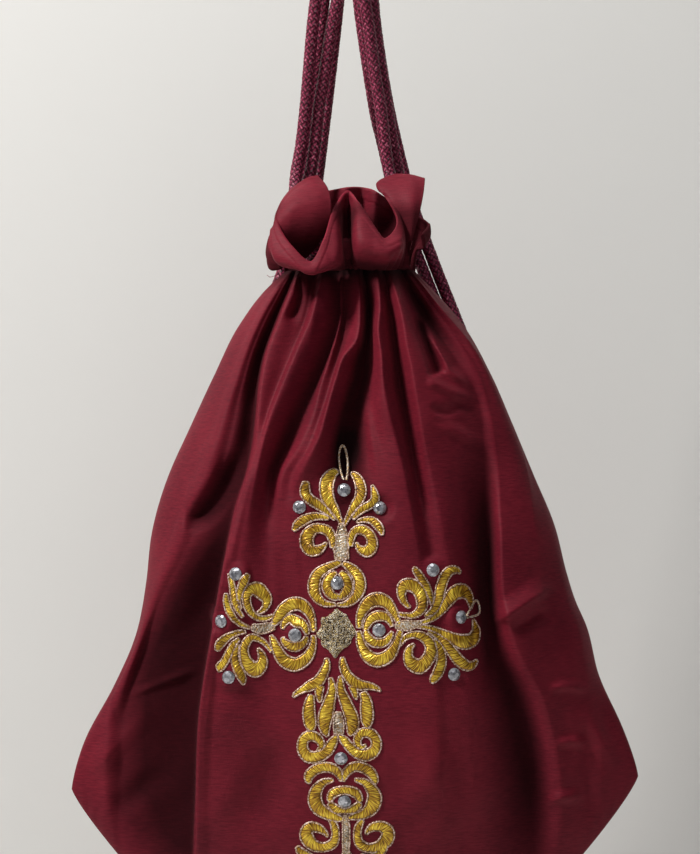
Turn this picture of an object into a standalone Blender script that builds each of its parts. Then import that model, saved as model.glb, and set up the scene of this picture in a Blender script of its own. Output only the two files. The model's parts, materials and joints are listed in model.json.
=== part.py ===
"""Vestment bag: a drawstring bag of suede-soft cloth, hung by its braided cords.

Metres, +Z up. The origin is where the cords pass over the hook that holds the bag up.
+X is to the right as the embroidered front is looked at, and the front faces -Y.
"""

import math

import bmesh
import bpy
import numpy as np
from mathutils import Vector
from mathutils.bvhtree import BVHTree

# Driving sizes.
REACH = 0.571  # hook down to the lower edge of the embroidery
VIEW_DISTANCE = 1.217  # how far in front of the seams the bag is looked at from
VIEW_LEVEL = -0.499 * REACH  # the height that it is looked at from
CLOTH = 0.0013
SEAM_GAP = 0.0003
CORD = 0.007
NECK_LEVEL = -0.344 * REACH  # top of the two panels
TUNNEL_HEIGHT = 0.0176
TUNNEL_DEPTH = 0.0098
CORNER_DROP = 0.517 * REACH  # neck down to the left corner
RIGHT_CORNER_DROP = 0.504 * REACH
SAG = 0.205 * REACH  # how much lower the middle of the bottom seam hangs
STONE = 0.0072
THOUSANDTH = REACH / 1000

# The bag from neck to corners. "down" is the share of the way down the side seam, "left" and
# "right" are the half widths in thousandths of REACH, "front" and "back" the depths in millimetres.
SECTION_COLUMNS = ("down", "left", "right", "front", "back")
SECTIONS = (
    (0.00, 65, 65, 23.0, 19.0),
    (0.03, 82, 80, 27.0, 20.5),
    (0.10, 110, 111, 34.0, 22.0),
    (0.20, 136, 140, 42.0, 24.0),
    (0.30, 160, 162, 47.0, 25.0),
    (0.40, 183, 183, 50.0, 25.5),
    (0.50, 198, 204, 52.0, 26.0),
    (0.60, 206, 219, 52.0, 26.0),
    (0.65, 214, 228, 51.0, 25.5),
    (0.70, 230, 238, 48.0, 25.0),
    (0.80, 246, 254, 42.0, 23.0),
    (0.90, 265, 275, 33.0, 20.0),
    (1.00, 281, 290, 25.0, 17.0),
)

# Folds of the front, as they look from the front: three points of each crest or valley, across
# and down from the hook in thousandths of REACH, its reach to either side at its foot, and its
# height in millimetres, below zero for a valley. A gather starts at full height at the neck.
# Columns: kind, top, middle, foot, left, right, height.
FRONT_FOLDS = (
    ("gather", (-73, 350), (-140, 490), (-196, 640), 24, 22, 5.0),
    ("gather", (-69, 352), (-99, 462), (-156, 585), 34, 26, -10.0),
    ("gather", (-54, 350), (-88, 470), (-106, 590), 14, 34, 7.0),
    ("fold", (-106, 560), (-127, 674), (-148, 960), 44, 90, 11.0),
    ("fold", (-132, 600), (-166, 722), (-180, 940), 60, 44, -9.0),
    ("gather", (-27, 350), (-59, 431), (-97, 555), 24, 30, 9.0),
    ("gather", (-14, 350), (-43, 462), (-70, 540), 20, 20, -7.0),
    ("gather", (0, 350), (-12, 444), (-64, 560), 22, 26, 8.0),
    ("gather", (13, 350), (10, 425), (-8, 545), 26, 28, -12.0),
    ("gather", (25, 350), (33, 449), (62, 590), 22, 22, 8.0),
    ("gather", (38, 350), (50, 449), (72, 545), 16, 16, -6.0),
    ("gather", (46, 350), (61, 442), (88, 590), 17, 20, 7.0),
    ("gather", (55, 348), (76, 402), (96, 460), 28, 22, -12.0),
    ("gather", (56, 344), (92, 398), (152, 500), 20, 40, 7.0),
    ("fold", (74, 380), (99, 437), (140, 480), 14, 20, 5.0),
    ("fold", (62, 540), (74, 630), (78, 740), 60, 60, 5.0),
    ("fold", (132, 650), (142, 760), (132, 960), 48, 44, -8.0),
    ("fold", (128, 706), (165, 684), (212, 660), 18, 22, 3.5),
    ("fold", (238, 780), (235, 862), (242, 930), 18, 18, -3.0),
)
BACK_FOLDS = (
    ("gather", (-52, 350), (-80, 440), (-130, 560), 22, 22, -6.0),
    ("gather", (-34, 350), (-52, 450), (-84, 570), 22, 24, 6.0),
    ("gather", (-14, 350), (-20, 440), (-34, 560), 22, 22, -6.0),
    ("gather", (6, 350), (10, 450), (12, 590), 24, 24, 6.0),
    ("gather", (26, 350), (38, 440), (62, 550), 22, 22, -6.0),
    ("gather", (48, 350), (76, 440), (118, 560), 24, 24, 5.0),
    ("fold", (-60, 600), (-96, 740), (-150, 880), 50, 50, 5.0),
    ("fold", (70, 600), (104, 740), (160, 870), 50, 50, 5.0),
)

# The headings that stand up above the casing, a row for each turn of their folds. Each row has
# where it starts round the neck, where its cloth bellies out and where its hem is: across and
# down in thousandths of REACH, forward in millimetres.
# Columns: base across, base forward, belly, hem.
FRONT_HEADING = (
    (-59, 20.5, (-44, 300, 26.0), (-34, 247, 0.5)),
    (-58, 21.2, (-56, 304, 26.5), (-44, 250, 3.0)),
    (-57, 21.8, (-74, 306, 25.0), (-61, 263, 9.0)),
    (-55, 22.4, (-90, 320, 28.0), (-71, 280, 18.0)),
    (-51, 23.0, (-86, 345, 36.0), (-70, 298, 27.0)),
    (-44, 23.6, (-64, 364, 43.0), (-58, 318, 34.0)),
    (-35, 24.0, (-40, 370, 46.0), (-39, 334, 38.0)),
    (-24, 24.0, (-20, 362, 42.0), (-26, 316, 33.0)),
    (-12, 24.0, (-8, 330, 24.0), (-18, 289, 25.0)),
    (-3, 24.0, (-1, 300, 8.0), (-8, 265, 17.0)),
    (5, 24.0, (4, 302, 8.0), (4, 264, 15.0)),
    (14, 24.0, (10, 330, 24.0), (14, 285, 22.0)),
    (25, 24.0, (28, 352, 40.0), (24, 303, 29.0)),
    (35, 23.4, (42, 356, 41.0), (37, 312, 32.0)),
    (42, 22.9, (56, 338, 34.0), (46, 300, 28.0)),
    (47, 22.5, (50, 312, 24.0), (41, 277, 18.0)),
    (51, 22.1, (36, 298, 21.0), (31, 254, 6.0)),
    (54, 21.7, (50, 298, 22.0), (44, 248, 4.0)),
    (57, 21.3, (64, 303, 23.0), (61, 248, 7.0)),
    (59, 20.8, (70, 312, 22.0), (75, 251, 9.0)),
)
BACK_HEADING = (
    (-60, -8.0, (-78, 336, -1.0), (-74, 306, 1.0)),
    (-63, -12.0, (-90, 338, -6.0), (-80, 312, -4.0)),
    (-59, -16.5, (-80, 318, -15.0), (-74, 300, -13.0)),
    (-46, -19.0, (-46, 296, -20.0), (-48, 274, -21.0)),
    (-32, -20.0, (-34, 290, -12.0), (-34, 264, -13.0)),
    (-18, -20.0, (-20, 290, -22.0), (-20, 262, -21.0)),
    (-5, -20.0, (-4, 286, -12.0), (-4, 259, -13.0)),
    (9, -20.0, (10, 288, -22.0), (12, 259, -21.0)),
    (22, -20.0, (24, 290, -12.0), (26, 263, -13.0)),
    (36, -19.6, (42, 296, -21.0), (42, 273, -21.0)),
    (51, -18.0, (62, 306, -18.0), (62, 284, -18.0)),
    (62, -13.5, (82, 322, -12.0), (77, 295, -13.0)),
    (62, -8.0, (78, 338, -4.0), (71, 306, -4.0)),
)

# The two drawcords, in millimetres. Each leaves its corner, passes over the hook, goes round
# the neck through both casings, and comes back the same way beside itself.
LEFT_CORD = (
    (-149, 15, -476), (-141, 19, -458), (-130, 22, -438), (-119, 26, -416), (-110, 28, -394),
    (-103, 29, -370), (-97, 29.5, -346), (-90, 30, -322), (-82, 30, -300), (-73, 29.5, -278),
    (-64, 29, -256), (-55, 28, -234), (-46, 27.5, -212), (-38, 27.5, -190), (-32, 27.5, -168),
    (-28, 26, -146), (-25, 23.5, -122), (-22, 21, -98), (-19, 18, -72), (-16, 15.5, -46),
    (-13.5, 14, -22),
    (-13, 11.2, -9.0), (-13, 5.2, -4.2), (-13, -1.6, -3.6), (-13.2, -9.0, -6.4), (-13.8, -13.2, -13.0),
    (-15.2, -14, -24), (-19, -12.5, -42), (-21.5, -9.5, -62), (-23.5, -5.0, -84), (-25.5, 0.0, -104),
    (-28.0, 3.5, -124), (-30.5, 3.8, -138), (-31.4, -0.4, -149), (-31.2, -7.4, -160),
    (-29.8, -13.6, -170.5), (-24.6, -16.6, -179.4), (-15.8, -16.7, -183.4), (-6, -16.7, -183.5),
    (3, -16.7, -183.5), (9.5, -16.6, -183.5), (16.0, -14.2, -183.5), (20.8, -9.2, -183.5),
    (22.7, -2.0, -183.5), (20.8, 5.2, -183.5), (16.0, 10.2, -183.5), (9.5, 12.6, -183.5),
    (3, 12.7, -183.5), (-6, 12.7, -183.5), (-15.8, 12.7, -183.4), (-24.6, 12.6, -179.6),
    (-29.4, 11.8, -171), (-29.6, 10.8, -161), (-26.8, 9.8, -150), (-22.8, 8.5, -139),
    (-20.2, 6.5, -124), (-18.0, 3.5, -104), (-14.5, -1.5, -84), (-11.0, -6.5, -62),
    (-7.0, -11.5, -42), (-5.2, -14, -24),
    (-4.8, -13.2, -13.0), (-4.6, -9.0, -6.4), (-4.6, -1.6, -3.6), (-4.6, 5.2, -4.2), (-4.8, 11.2, -9.0),
    (-5.4, 14, -22), (-7.5, 16.5, -46), (-13.6, 21.5, -98), (-19.8, 26.5, -146),
    (-23.6, 27.5, -168), (-29.4, 27.5, -190), (-37.2, 27.5, -212), (-46.2, 28, -234),
    (-64.6, 29.5, -278), (-81.4, 30, -322), (-94.8, 29, -370), (-101.8, 28, -394),
    (-110.6, 26, -416), (-121.6, 22, -438), (-132.8, 19, -458), (-141, 15, -476),
)
RIGHT_CORD = (
    (149, 15, -468), (141, 19, -450), (132, 22, -428), (124, 25.5, -404), (117, 27.5, -380),
    (110, 29, -356), (102, 30, -330), (93, 30, -304), (84, 29.5, -278), (75, 29, -254),
    (66, 28.5, -232), (58, 28, -212), (50, 27.5, -192), (42.5, 27.5, -172), (36, 27, -154),
    (31, 24.5, -136), (26.5, 22.5, -118), (22, 20, -98), (17.5, 17.5, -72), (14, 15.5, -46),
    (12.6, 14, -22),
    (12.4, 11.2, -9.0), (12.4, 5.2, -4.2), (12.4, -1.6, -3.6), (12.4, -8.6, -6.2), (12.4, -11.5, -13.0),
    (12.4, -10, -24), (12.8, -5.5, -42), (15.0, 0.5, -62), (18.4, 4.5, -84), (21.6, 7.5, -104),
    (25.0, 10.0, -124), (28.4, 12.0, -141), (30.6, 12.9, -156), (30.6, 12.9, -170),
    (28.8, 12.8, -180), (24.0, 12.7, -187.4), (16.2, 12.7, -191.1), (5, 12.7, -191.2),
    (-5, 12.7, -191.2), (-14.5, 12.7, -191.2), (-21.5, 11.2, -191.2), (-27.0, 6.6, -191.2),
    (-29.9, -2.0, -191.2), (-27.0, -10.6, -191.2), (-21.5, -15.2, -191.2), (-14.5, -16.7, -191.2),
    (-5, -16.7, -191.2), (5, -16.7, -191.2), (16.2, -16.7, -191.1), (24.0, -16.7, -187.4),
    (29.0, -16.0, -180), (30.6, -13.6, -170), (29.4, -8.4, -160), (26.0, -2.4, -150),
    (22.4, 1.6, -139), (20.0, 1.2, -124), (17.6, -1.0, -104), (14.2, -4.0, -84), (11.2, -8.0, -62),
    (8.0, -12.6, -42), (5.2, -14, -24),
    (4.2, -13.2, -13.0), (4.0, -9.0, -6.4), (4.0, -1.6, -3.6), (4.0, 5.2, -4.2), (4.0, 11.2, -9.0),
    (4.2, 14, -22), (6.0, 16.5, -46), (14.0, 21.5, -98), (18.6, 24, -118),
    (23.0, 26.5, -136), (28.0, 27.2, -154), (34.2, 27.5, -172), (50.0, 28, -212), (67.0, 29, -254),
    (85.2, 30, -304), (102.0, 29, -356), (116.0, 25.5, -404), (123.8, 22, -428), (132.8, 19, -450),
    (141, 15, -468),
)

# Where each stone is sewn on the cross, across and down in thousandths of REACH.
STONES = (
    ("top_left", -50.5, 579), ("top_middle", -6, 562), ("top_right", 30, 580),
    ("above_centre", -13, 655),
    ("left_upper", -114, 646), ("left_outer", -128, 693), ("left_lower", -121, 749),
    ("left_inner", -55, 707),
    ("right_upper", 82.5, 642), ("right_outer", 110.5, 689), ("right_lower", 103.5, 746),
    ("right_inner", 29, 702), ("below_centre", -9, 830), ("heart", -5.5, 873),
    ("foot_left", -47, 941), ("foot_middle", -2.5, 958.5), ("foot_right", 33.5, 940.5),
)


def material(name, colour, roughness, metallic=0.0):
    m = bpy.data.materials.new(name)
    m.use_nodes = True
    shader = m.node_tree.nodes["Principled BSDF"]
    shader.inputs["Base Color"].default_value = (*colour, 1.0)
    shader.inputs["Roughness"].default_value = roughness
    shader.inputs["Metallic"].default_value = metallic
    m.diffuse_color = (*colour, 1.0)
    return m


def add_mesh(name, vertices, faces, surface):
    """A closed mesh, its faces turned outwards."""
    mesh = bpy.data.meshes.new(name)
    mesh.from_pydata([tuple(v) for v in vertices], [], [tuple(f) for f in faces])
    bm = bmesh.new()
    bm.from_mesh(mesh)
    bmesh.ops.recalc_face_normals(bm, faces=bm.faces)
    if bm.calc_volume(signed=True) < 0:
        bmesh.ops.reverse_faces(bm, faces=bm.faces)
    bm.to_mesh(mesh)
    bm.free()
    mesh.materials.append(surface)
    obj = bpy.data.objects.new(name, mesh)
    parts.objects.link(obj)
    return obj


def curve_through(rows, at):
    """Smooth curve through rows evenly spaced from 0 to 1, read at each of at (Catmull-Rom)."""
    rows = np.asarray(rows, float)
    place = np.clip(np.asarray(at, float), 0, 1) * (len(rows) - 1)
    low = np.minimum(place.astype(int), len(rows) - 2)
    t = (place - low)[:, None]
    padded = np.vstack([2 * rows[0] - rows[1], rows, 2 * rows[-1] - rows[-2]])
    a, b, c, d = (padded[low + k] for k in range(4))
    return b + 0.5 * t * (c - a + t * (2 * a - 5 * b + 4 * c - d + t * (3 * (b - c) + d - a)))


def column(name, down):
    """One column of SECTIONS, read smoothly at each share of the way down."""
    shares = np.array([row[0] for row in SECTIONS])
    values = np.array([row[SECTION_COLUMNS.index(name)] for row in SECTIONS], float)
    slope = np.gradient(values, shares)
    place = np.clip(np.searchsorted(shares, down, side="right") - 1, 0, len(shares) - 2)
    step = shares[place + 1] - shares[place]
    t = (down - shares[place]) / step
    rise = values[place + 1] - values[place]
    return (
        values[place]
        + rise * t * t * (3 - 2 * t)
        + step * t * (1 - t) * (slope[place] * (1 - t) - slope[place + 1] * t)
    )


def seen(across, down, forward):
    """The point, in metres, that shows at across and down (thousandths) when it is forward (mm)."""
    nearer = 1 - np.asarray(forward, float) * 0.001 / VIEW_DISTANCE
    x = np.asarray(across, float) * THOUSANDTH * nearer
    z = VIEW_LEVEL + (-np.asarray(down, float) * THOUSANDTH - VIEW_LEVEL) * nearer
    return np.stack([x, -np.asarray(forward, float) * 0.001 + 0 * x, z], axis=-1)


def fold_heights(table, across, down):
    """Sum of the folds, in metres: each is a smooth bump on either side of its own curve."""
    total = np.zeros_like(across)
    for kind, top, middle, foot, left, right, height in table:
        t = np.linspace(0, 1, 17)[:, None]
        line = (
            (1 - t) * (1 - 2 * t) * np.array(top)
            + 4 * t * (1 - t) * np.array(middle)
            + t * (2 * t - 1) * np.array(foot)
        )
        best = np.full(across.shape, 1e9)
        along = np.zeros_like(across)
        side = np.zeros_like(across)
        for a, b, start in zip(line[:-1], line[1:], t[:-1, 0]):
            step = b - a
            share = np.clip(((across - a[0]) * step[0] + (down - a[1]) * step[1]) / (step @ step), 0, 1)
            off = np.hypot(across - a[0] - share * step[0], down - a[1] - share * step[1])
            nearer = off < best
            best = np.where(nearer, off, best)
            along = np.where(nearer, start + share / 16, along)
            turned = step[0] * (down - a[1]) - step[1] * (across - a[0])
            side = np.where(nearer, turned, side)
        if kind == "gather":
            widening, strength = 0.42 + 0.58 * along, (1 - along**3) * np.minimum(1, 0.25 + 9 * along)
        else:
            widening, strength = 0.6 + 0.4 * along, np.sin(math.pi * (0.08 + 0.9 * along)) ** 0.8
        width = np.where(side > 0, left, right) * widening
        total += height * 0.001 * strength * np.clip(1 - (best / width) ** 2, 0, None) ** 2
    return total


def ease(x):
    x = np.clip(x, 0, 1)
    return x * x * (3 - 2 * x)


def panel(share, down, back):
    """Points of a panel. share runs from the left seam to the right, down from neck to bottom seam.

    A section is half an oval between the seams. It closes to nothing at the bottom seam, whose
    middle hangs lower than its corners, and the folds stand out from it.
    """
    share, down = np.broadcast_arrays(share, down)
    # The left seam is turned to the front above the corner.
    turned = math.radians(27) * (1 - ease((down - 0.42) / 0.36))
    if back:
        angle = math.pi - turned + share * (math.pi + turned)
    else:
        angle = (math.pi - turned) * (1 - share)
    c, s = np.cos(angle), np.sin(angle)
    left, right = column("left", down), column("right", down)
    middle, half = (right - left) / 2, (right + left) / 2
    square = 1 - 0.18 * (1 - ease(down / 0.12))
    x = (middle + half * np.sign(c) * np.abs(c) ** square) * THOUSANDTH
    depth = np.where(s > 0, column("front", down), column("back", down)) * 0.001
    closing = np.sqrt(np.clip(1 - down**5, 0, None))
    y = -np.sign(s) * np.abs(s) ** square * depth * closing
    drop = np.where(c > 0, CORNER_DROP + (RIGHT_CORNER_DROP - CORNER_DROP) * np.abs(c), CORNER_DROP)
    z = NECK_LEVEL - down * (drop + SAG * s * s)
    # A flat selvedge next to the seams, so that the two panels lie on each other there.
    away = (1 - np.exp(-share / 0.02)) * (1 - np.exp((share - 1) / 0.02)) * (1 - np.exp((down - 1) / 0.02))
    y += np.where(back, 1, -1) * 0.0016 * away
    inwards = ease(share / 0.10) * ease((1 - share) / 0.10) * ease((1 - down) / 0.08)
    if back:
        heights = fold_heights(BACK_FOLDS, x / THOUSANDTH, -z / THOUSANDTH)
        return np.stack([x, y + heights * inwards, z], axis=-1)
    nearer = 1 + y / VIEW_DISTANCE
    across = x / nearer / THOUSANDTH
    level = -(VIEW_LEVEL + (z - VIEW_LEVEL) / nearer) / THOUSANDTH
    heights = fold_heights(FRONT_FOLDS, across, level)
    return np.stack([x, y - heights * inwards, z], axis=-1)


def heading(table, share, up):
    """Points of a heading: straight up beside the casing, then over its belly to the hem."""
    base = curve_through([(row[0], row[1]) for row in table], share)
    belly = curve_through([row[2] for row in table], share)
    hem = curve_through([row[3] for row in table], share)
    foot = np.stack([base[:, 0] * THOUSANDTH, -base[:, 1] * 0.001, 0 * base[:, 0]], axis=-1)
    belly = seen(belly[:, 0], belly[:, 1], belly[:, 2])
    hem = seen(hem[:, 0], hem[:, 1], hem[:, 2])
    rows = []
    for u in up:
        if u <= 0:
            height = NECK_LEVEL + SEAM_GAP + (1 + u) * (TUNNEL_HEIGHT + 0.001)
            rows.append(foot + np.array([0, 0, height]))
        else:
            top = foot + np.array([0, 0, NECK_LEVEL + SEAM_GAP + TUNNEL_HEIGHT + 0.001])
            rows.append((1 - u) ** 2 * top + 2 * u * (1 - u) * belly + u * u * hem)
    return np.stack(rows, axis=1)


def thickened(outer, thickness, towards):
    """The other face of a sheet: each point moved along its normal, to the side of towards."""
    along = np.gradient(outer, axis=0)
    across = np.gradient(outer, axis=1)
    normal = np.cross(along, across)
    normal /= np.maximum(np.linalg.norm(normal, axis=-1, keepdims=True), 1e-12)
    return outer + normal * thickness * towards


def sheet(name, outer, inner, surface):
    """A closed body between two grids of points, with walls along its four edges."""
    ni, nj = outer.shape[:2]
    index = np.arange(ni * nj).reshape(ni, nj)
    a, b, c, d = index[:-1, :-1], index[1:, :-1], index[1:, 1:], index[:-1, 1:]
    quads = np.stack([a, b, c, d], axis=-1).reshape(-1, 4)
    other = quads[:, ::-1] + ni * nj
    rim = np.concatenate([index[:, 0], index[-1, 1:], index[-2::-1, -1], index[0, -2:0:-1]])
    after = np.roll(rim, -1)
    walls = np.stack([after, rim, rim + ni * nj, after + ni * nj], axis=-1)
    points = np.concatenate([outer.reshape(-1, 3), inner.reshape(-1, 3)])
    faces = np.concatenate([quads, other, walls])
    return add_mesh(name, points, np.concatenate([faces[:, [0, 1, 2]], faces[:, [0, 2, 3]]]), surface)


def tube_section(name, line, outer, inner, surface):
    """A hollow tunnel with open ends, its outer and inner sections swept along a level line."""
    line = np.asarray(line)
    along = np.gradient(line, axis=0)
    along /= np.linalg.norm(along, axis=1, keepdims=True)
    out = np.stack([along[:, 1], -along[:, 0], 0 * along[:, 0]], axis=-1)
    n, k = len(line), len(outer)
    rings = []
    for section in (outer, inner):
        section = np.asarray(section)
        rings.append(
            line[:, None, :] + out[:, None, :] * section[None, :, :1]
            + np.array([0, 0, 1]) * section[None, :, 1:]
        )
    points = np.concatenate([rings[0].reshape(-1, 3), rings[1].reshape(-1, 3)])
    faces = []
    for i in range(n - 1):
        for j in range(k):
            a, b = i * k + j, i * k + (j + 1) % k
            faces.append((a, b, b + k, a + k))
            faces.append((a + n * k, a + k + n * k, b + k + n * k, b + n * k))
    for start in (0, (n - 1) * k):
        for j in range(k):
            a, b = start + j, start + (j + 1) % k
            faces.append((a, a + n * k, b + n * k, b))
    return add_mesh(name, points, faces, surface)


def cord(name, points, surface):
    curve = bpy.data.curves.new(name, "CURVE")
    curve.dimensions = "3D"
    curve.bevel_depth = CORD / 2
    curve.bevel_resolution = 2
    curve.use_fill_caps = True
    spline = curve.splines.new("POLY")
    spline.points.add(len(points) - 1)
    for point, (x, y, z) in zip(spline.points, points):
        point.co = (x / 1000, y / 1000, z / 1000, 1)
    curve.materials.append(surface)
    obj = bpy.data.objects.new(name, curve)
    parts.objects.link(obj)
    return obj


for old in list(bpy.data.objects):
    bpy.data.objects.remove(old, do_unlink=True)
parts = bpy.data.collections.new("vestment_bag")
bpy.context.scene.collection.children.link(parts)

cloth = material("burgundy_cloth", (0.155, 0.010, 0.020), 0.78)
heading_cloth = material("burgundy_heading", (0.165, 0.012, 0.022), 0.78)
braid = material("burgundy_braid", (0.200, 0.012, 0.045), 0.62)
crystal = material("clear_crystal", (0.80, 0.82, 0.86), 0.08)
tape = material("casing_tape", (0.120, 0.008, 0.016), 0.80)

# The front and back panels meet at the side and bottom seams.
nearly = SEAM_GAP / 2
ACROSS = np.linspace(0, 1, 27)
DOWN = np.concatenate(
    [[0, 0.025, 0.055, 0.09, 0.13, 0.175, 0.225], np.linspace(0.28, 0.86, 11), [0.91, 0.95, 0.98, 1]]
)
cloth_panels = {}
for name, back in (("front_panel", False), ("back_panel", True)):
    outer = panel(ACROSS[:, None], DOWN[None, :], back)
    inner = thickened(outer, CLOTH, 1 if back else -1)
    low = (DOWN > 0.72)[None, :] & np.ones((len(ACROSS), 1), bool)
    for points in (outer, inner):
        points[..., 2][:, 0] = NECK_LEVEL
        if back:
            points[..., 1] = np.where(low, np.maximum(points[..., 1], nearly), points[..., 1])
        else:
            points[..., 1] = np.where(low, np.minimum(points[..., 1], -nearly), points[..., 1])
    # The panels stop short of each other all along the side seams.
    for end, step in ((0, 1), (-1, -1)):
        for points in (outer, inner):
            towards = points[end + step] - points[end]
            reach = np.maximum(np.linalg.norm(towards, axis=-1, keepdims=True), 1e-9)
            points[end] += towards / reach * np.minimum(nearly, 0.4 * reach)
    cloth_panels[name] = sheet(name, outer, inner, cloth)

# The casings are tunnels behind the headings, open at the bag's sides where the cords come out.
level = NECK_LEVEL + SEAM_GAP + TUNNEL_HEIGHT / 2
w, h, t = TUNNEL_DEPTH / 2, TUNNEL_HEIGHT / 2, 0.0011
outer_section = ((-w, h - 0.002), (-w + 0.002, h), (w - 0.002, h), (w, h - 0.002),
                 (w, -h + 0.002), (w - 0.002, -h), (-w + 0.002, -h), (-w, -h + 0.002))
inner_section = tuple((x * (w - t) / w, z * (h - t) / h) for x, z in outer_section)
for name, forward, bow in (("front_casing", 0.0167, -1), ("back_casing", 0.0127, 1)):
    line = [(x, bow * forward, level) for x in np.linspace(-0.0155, 0.0080, 5)]
    tube_section(name, line, outer_section, inner_section, tape)

# The headings: the hemmed cloth that stands up above the casings and flops over.
UP = (-1, 0, 0.18, 0.36, 0.54, 0.70, 0.85, 1)
for name, table, towards, count in (
    ("front_heading", FRONT_HEADING, 1, 60),
    ("back_heading", BACK_HEADING, -1, 40),
):
    outer = heading(table, np.linspace(0, 1, count), UP)
    sheet(name, outer, thickened(outer, CLOTH, towards), heading_cloth)

cord("left_drawcord", LEFT_CORD, braid)
cord("right_drawcord", RIGHT_CORD, braid)

# The knot that both ends of a cord run into, behind each bottom corner.
for name, side, z in (("left", -1, -0.4824), ("right", 1, -0.4746)):
    bm = bmesh.new()
    bmesh.ops.create_icosphere(bm, subdivisions=2, radius=1)
    for v in bm.verts:
        lump = 1 + 0.06 * math.sin(3 * v.co.x + 4 * v.co.z)
        size = Vector((v.co.x * 0.0090, v.co.y * 0.0062, v.co.z * 0.0050))
        v.co = Vector((side * 0.1475, 0.0150, z)) + size * lump
    mesh = bpy.data.meshes.new(name + "_knot")
    bm.to_mesh(mesh)
    bm.free()
    mesh.materials.append(braid)
    parts.objects.link(bpy.data.objects.new(name + "_knot", mesh))

# The stones rest on the coarse cloth, a little clear of it: a faceted dome on a flat back.
front = cloth_panels["front_panel"].data
tree = BVHTree.FromPolygons([v.co for v in front.vertices], [tuple(p.vertices) for p in front.polygons])
eye = Vector((0, -VIEW_DISTANCE, VIEW_LEVEL))
for name, across, down in STONES:
    aim = Vector(seen(across, down, 0.0)) - eye
    place, normal, _, _ = tree.ray_cast(eye, aim)
    if normal.dot(aim) > 0:
        normal = -normal
    # It is tilted to the cloth round it, then let down until it is nearly on the cloth.
    side = Vector((1, 0, 0)).cross(normal).normalized()
    other = normal.cross(side)
    under = []
    for ring in (0.50, 0.34, 0.17):
        for k in range(16):
            turn = math.tau * k / 16
            edge = place + ring * STONE * (side * math.cos(turn) + other * math.sin(turn))
            under.append(tree.ray_cast(edge + normal * 0.005, -normal)[0])
    normal = sum(((under[k] - place).cross(under[(k + 4) % 16] - place) for k in range(16)), Vector())
    normal = normal.normalized() if normal.dot(aim) < 0 else -normal.normalized()
    side = Vector((1, 0, 0)).cross(normal).normalized()
    other = normal.cross(side)
    base = place + normal * 0.003
    for _ in range(12):
        spots = [base]
        for ring in (0.50, 0.34, 0.17):
            for k in range(16):
                turn = math.tau * k / 16
                spots.append(base + ring * STONE * (side * math.cos(turn) + other * math.sin(turn)))
        base -= normal * (min(tree.find_nearest(spot)[3] for spot in spots) - 0.0004)
    rings = ((0.50, 0.0), (0.50, 0.0005), (0.30, 0.0019))
    points, facets = [], 8
    for ring, (radius, height) in enumerate(rings):
        for k in range(facets):
            turn = math.tau * (k + 0.5 * (ring == 2)) / facets
            out = side * math.cos(turn) + other * math.sin(turn)
            points.append(base + normal * height + radius * STONE * out)
    faces = [tuple(range(facets)), tuple(range(2 * facets, 3 * facets))]
    for ring in (0, 1):
        for k in range(facets):
            a, b = ring * facets + k, ring * facets + (k + 1) % facets
            faces += [(a, b, b + facets), (a, b + facets, a + facets)]
    add_mesh("stone_" + name, points, faces, crystal)
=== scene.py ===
"""Vestment bag: a drawstring bag of burgundy cloth with an embroidered cross, as it hangs.

Metres, +Z up, in the same frame as the CAD: the origin is on the hook under the cords, +X is to
the right as the embroidered front is looked at, and the front faces -Y.
"""

import json
import math

import bpy
import numpy as np
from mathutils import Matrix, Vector

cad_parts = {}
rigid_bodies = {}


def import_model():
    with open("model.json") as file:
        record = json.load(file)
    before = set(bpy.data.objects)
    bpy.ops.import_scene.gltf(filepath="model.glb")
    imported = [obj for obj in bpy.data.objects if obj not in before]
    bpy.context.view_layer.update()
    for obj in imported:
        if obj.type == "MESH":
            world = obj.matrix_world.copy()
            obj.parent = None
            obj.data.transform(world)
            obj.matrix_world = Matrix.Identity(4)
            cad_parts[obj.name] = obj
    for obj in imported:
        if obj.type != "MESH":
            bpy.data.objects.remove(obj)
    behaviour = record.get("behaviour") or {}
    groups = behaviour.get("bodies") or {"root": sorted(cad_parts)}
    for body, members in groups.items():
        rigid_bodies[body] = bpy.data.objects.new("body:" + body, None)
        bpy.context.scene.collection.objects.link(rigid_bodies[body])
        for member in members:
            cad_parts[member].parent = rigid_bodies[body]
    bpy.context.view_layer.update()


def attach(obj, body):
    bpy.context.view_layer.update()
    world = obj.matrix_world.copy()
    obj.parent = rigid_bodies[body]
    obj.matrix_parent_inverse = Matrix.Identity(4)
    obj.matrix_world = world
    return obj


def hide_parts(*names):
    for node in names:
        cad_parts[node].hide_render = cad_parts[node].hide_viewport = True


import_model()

# The view
# The photograph is taken level with the middle of the bag, from about 1.2 m in front of its
# side seams, so one of its pixels is 0.571 mm there. The hook is 72 pixels above its top edge.
VIEW_DISTANCE = 1.217
VIEW_LEVEL = -0.2849
PIXEL = 0.000571
MIDDLE_COLUMN, HOOK_ROW = 350, -72

camera_data = bpy.data.cameras.new("photo_camera")
camera_data.sensor_fit = "HORIZONTAL"
camera_data.lens = camera_data.sensor_width * VIEW_DISTANCE / (2 * MIDDLE_COLUMN * PIXEL)
camera = bpy.data.objects.new("photo_camera", camera_data)
camera.location = (0, -VIEW_DISTANCE, VIEW_LEVEL)
camera.rotation_euler = (math.pi / 2, 0, 0)
bpy.context.scene.collection.objects.link(camera)
bpy.context.scene.camera = camera


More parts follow.
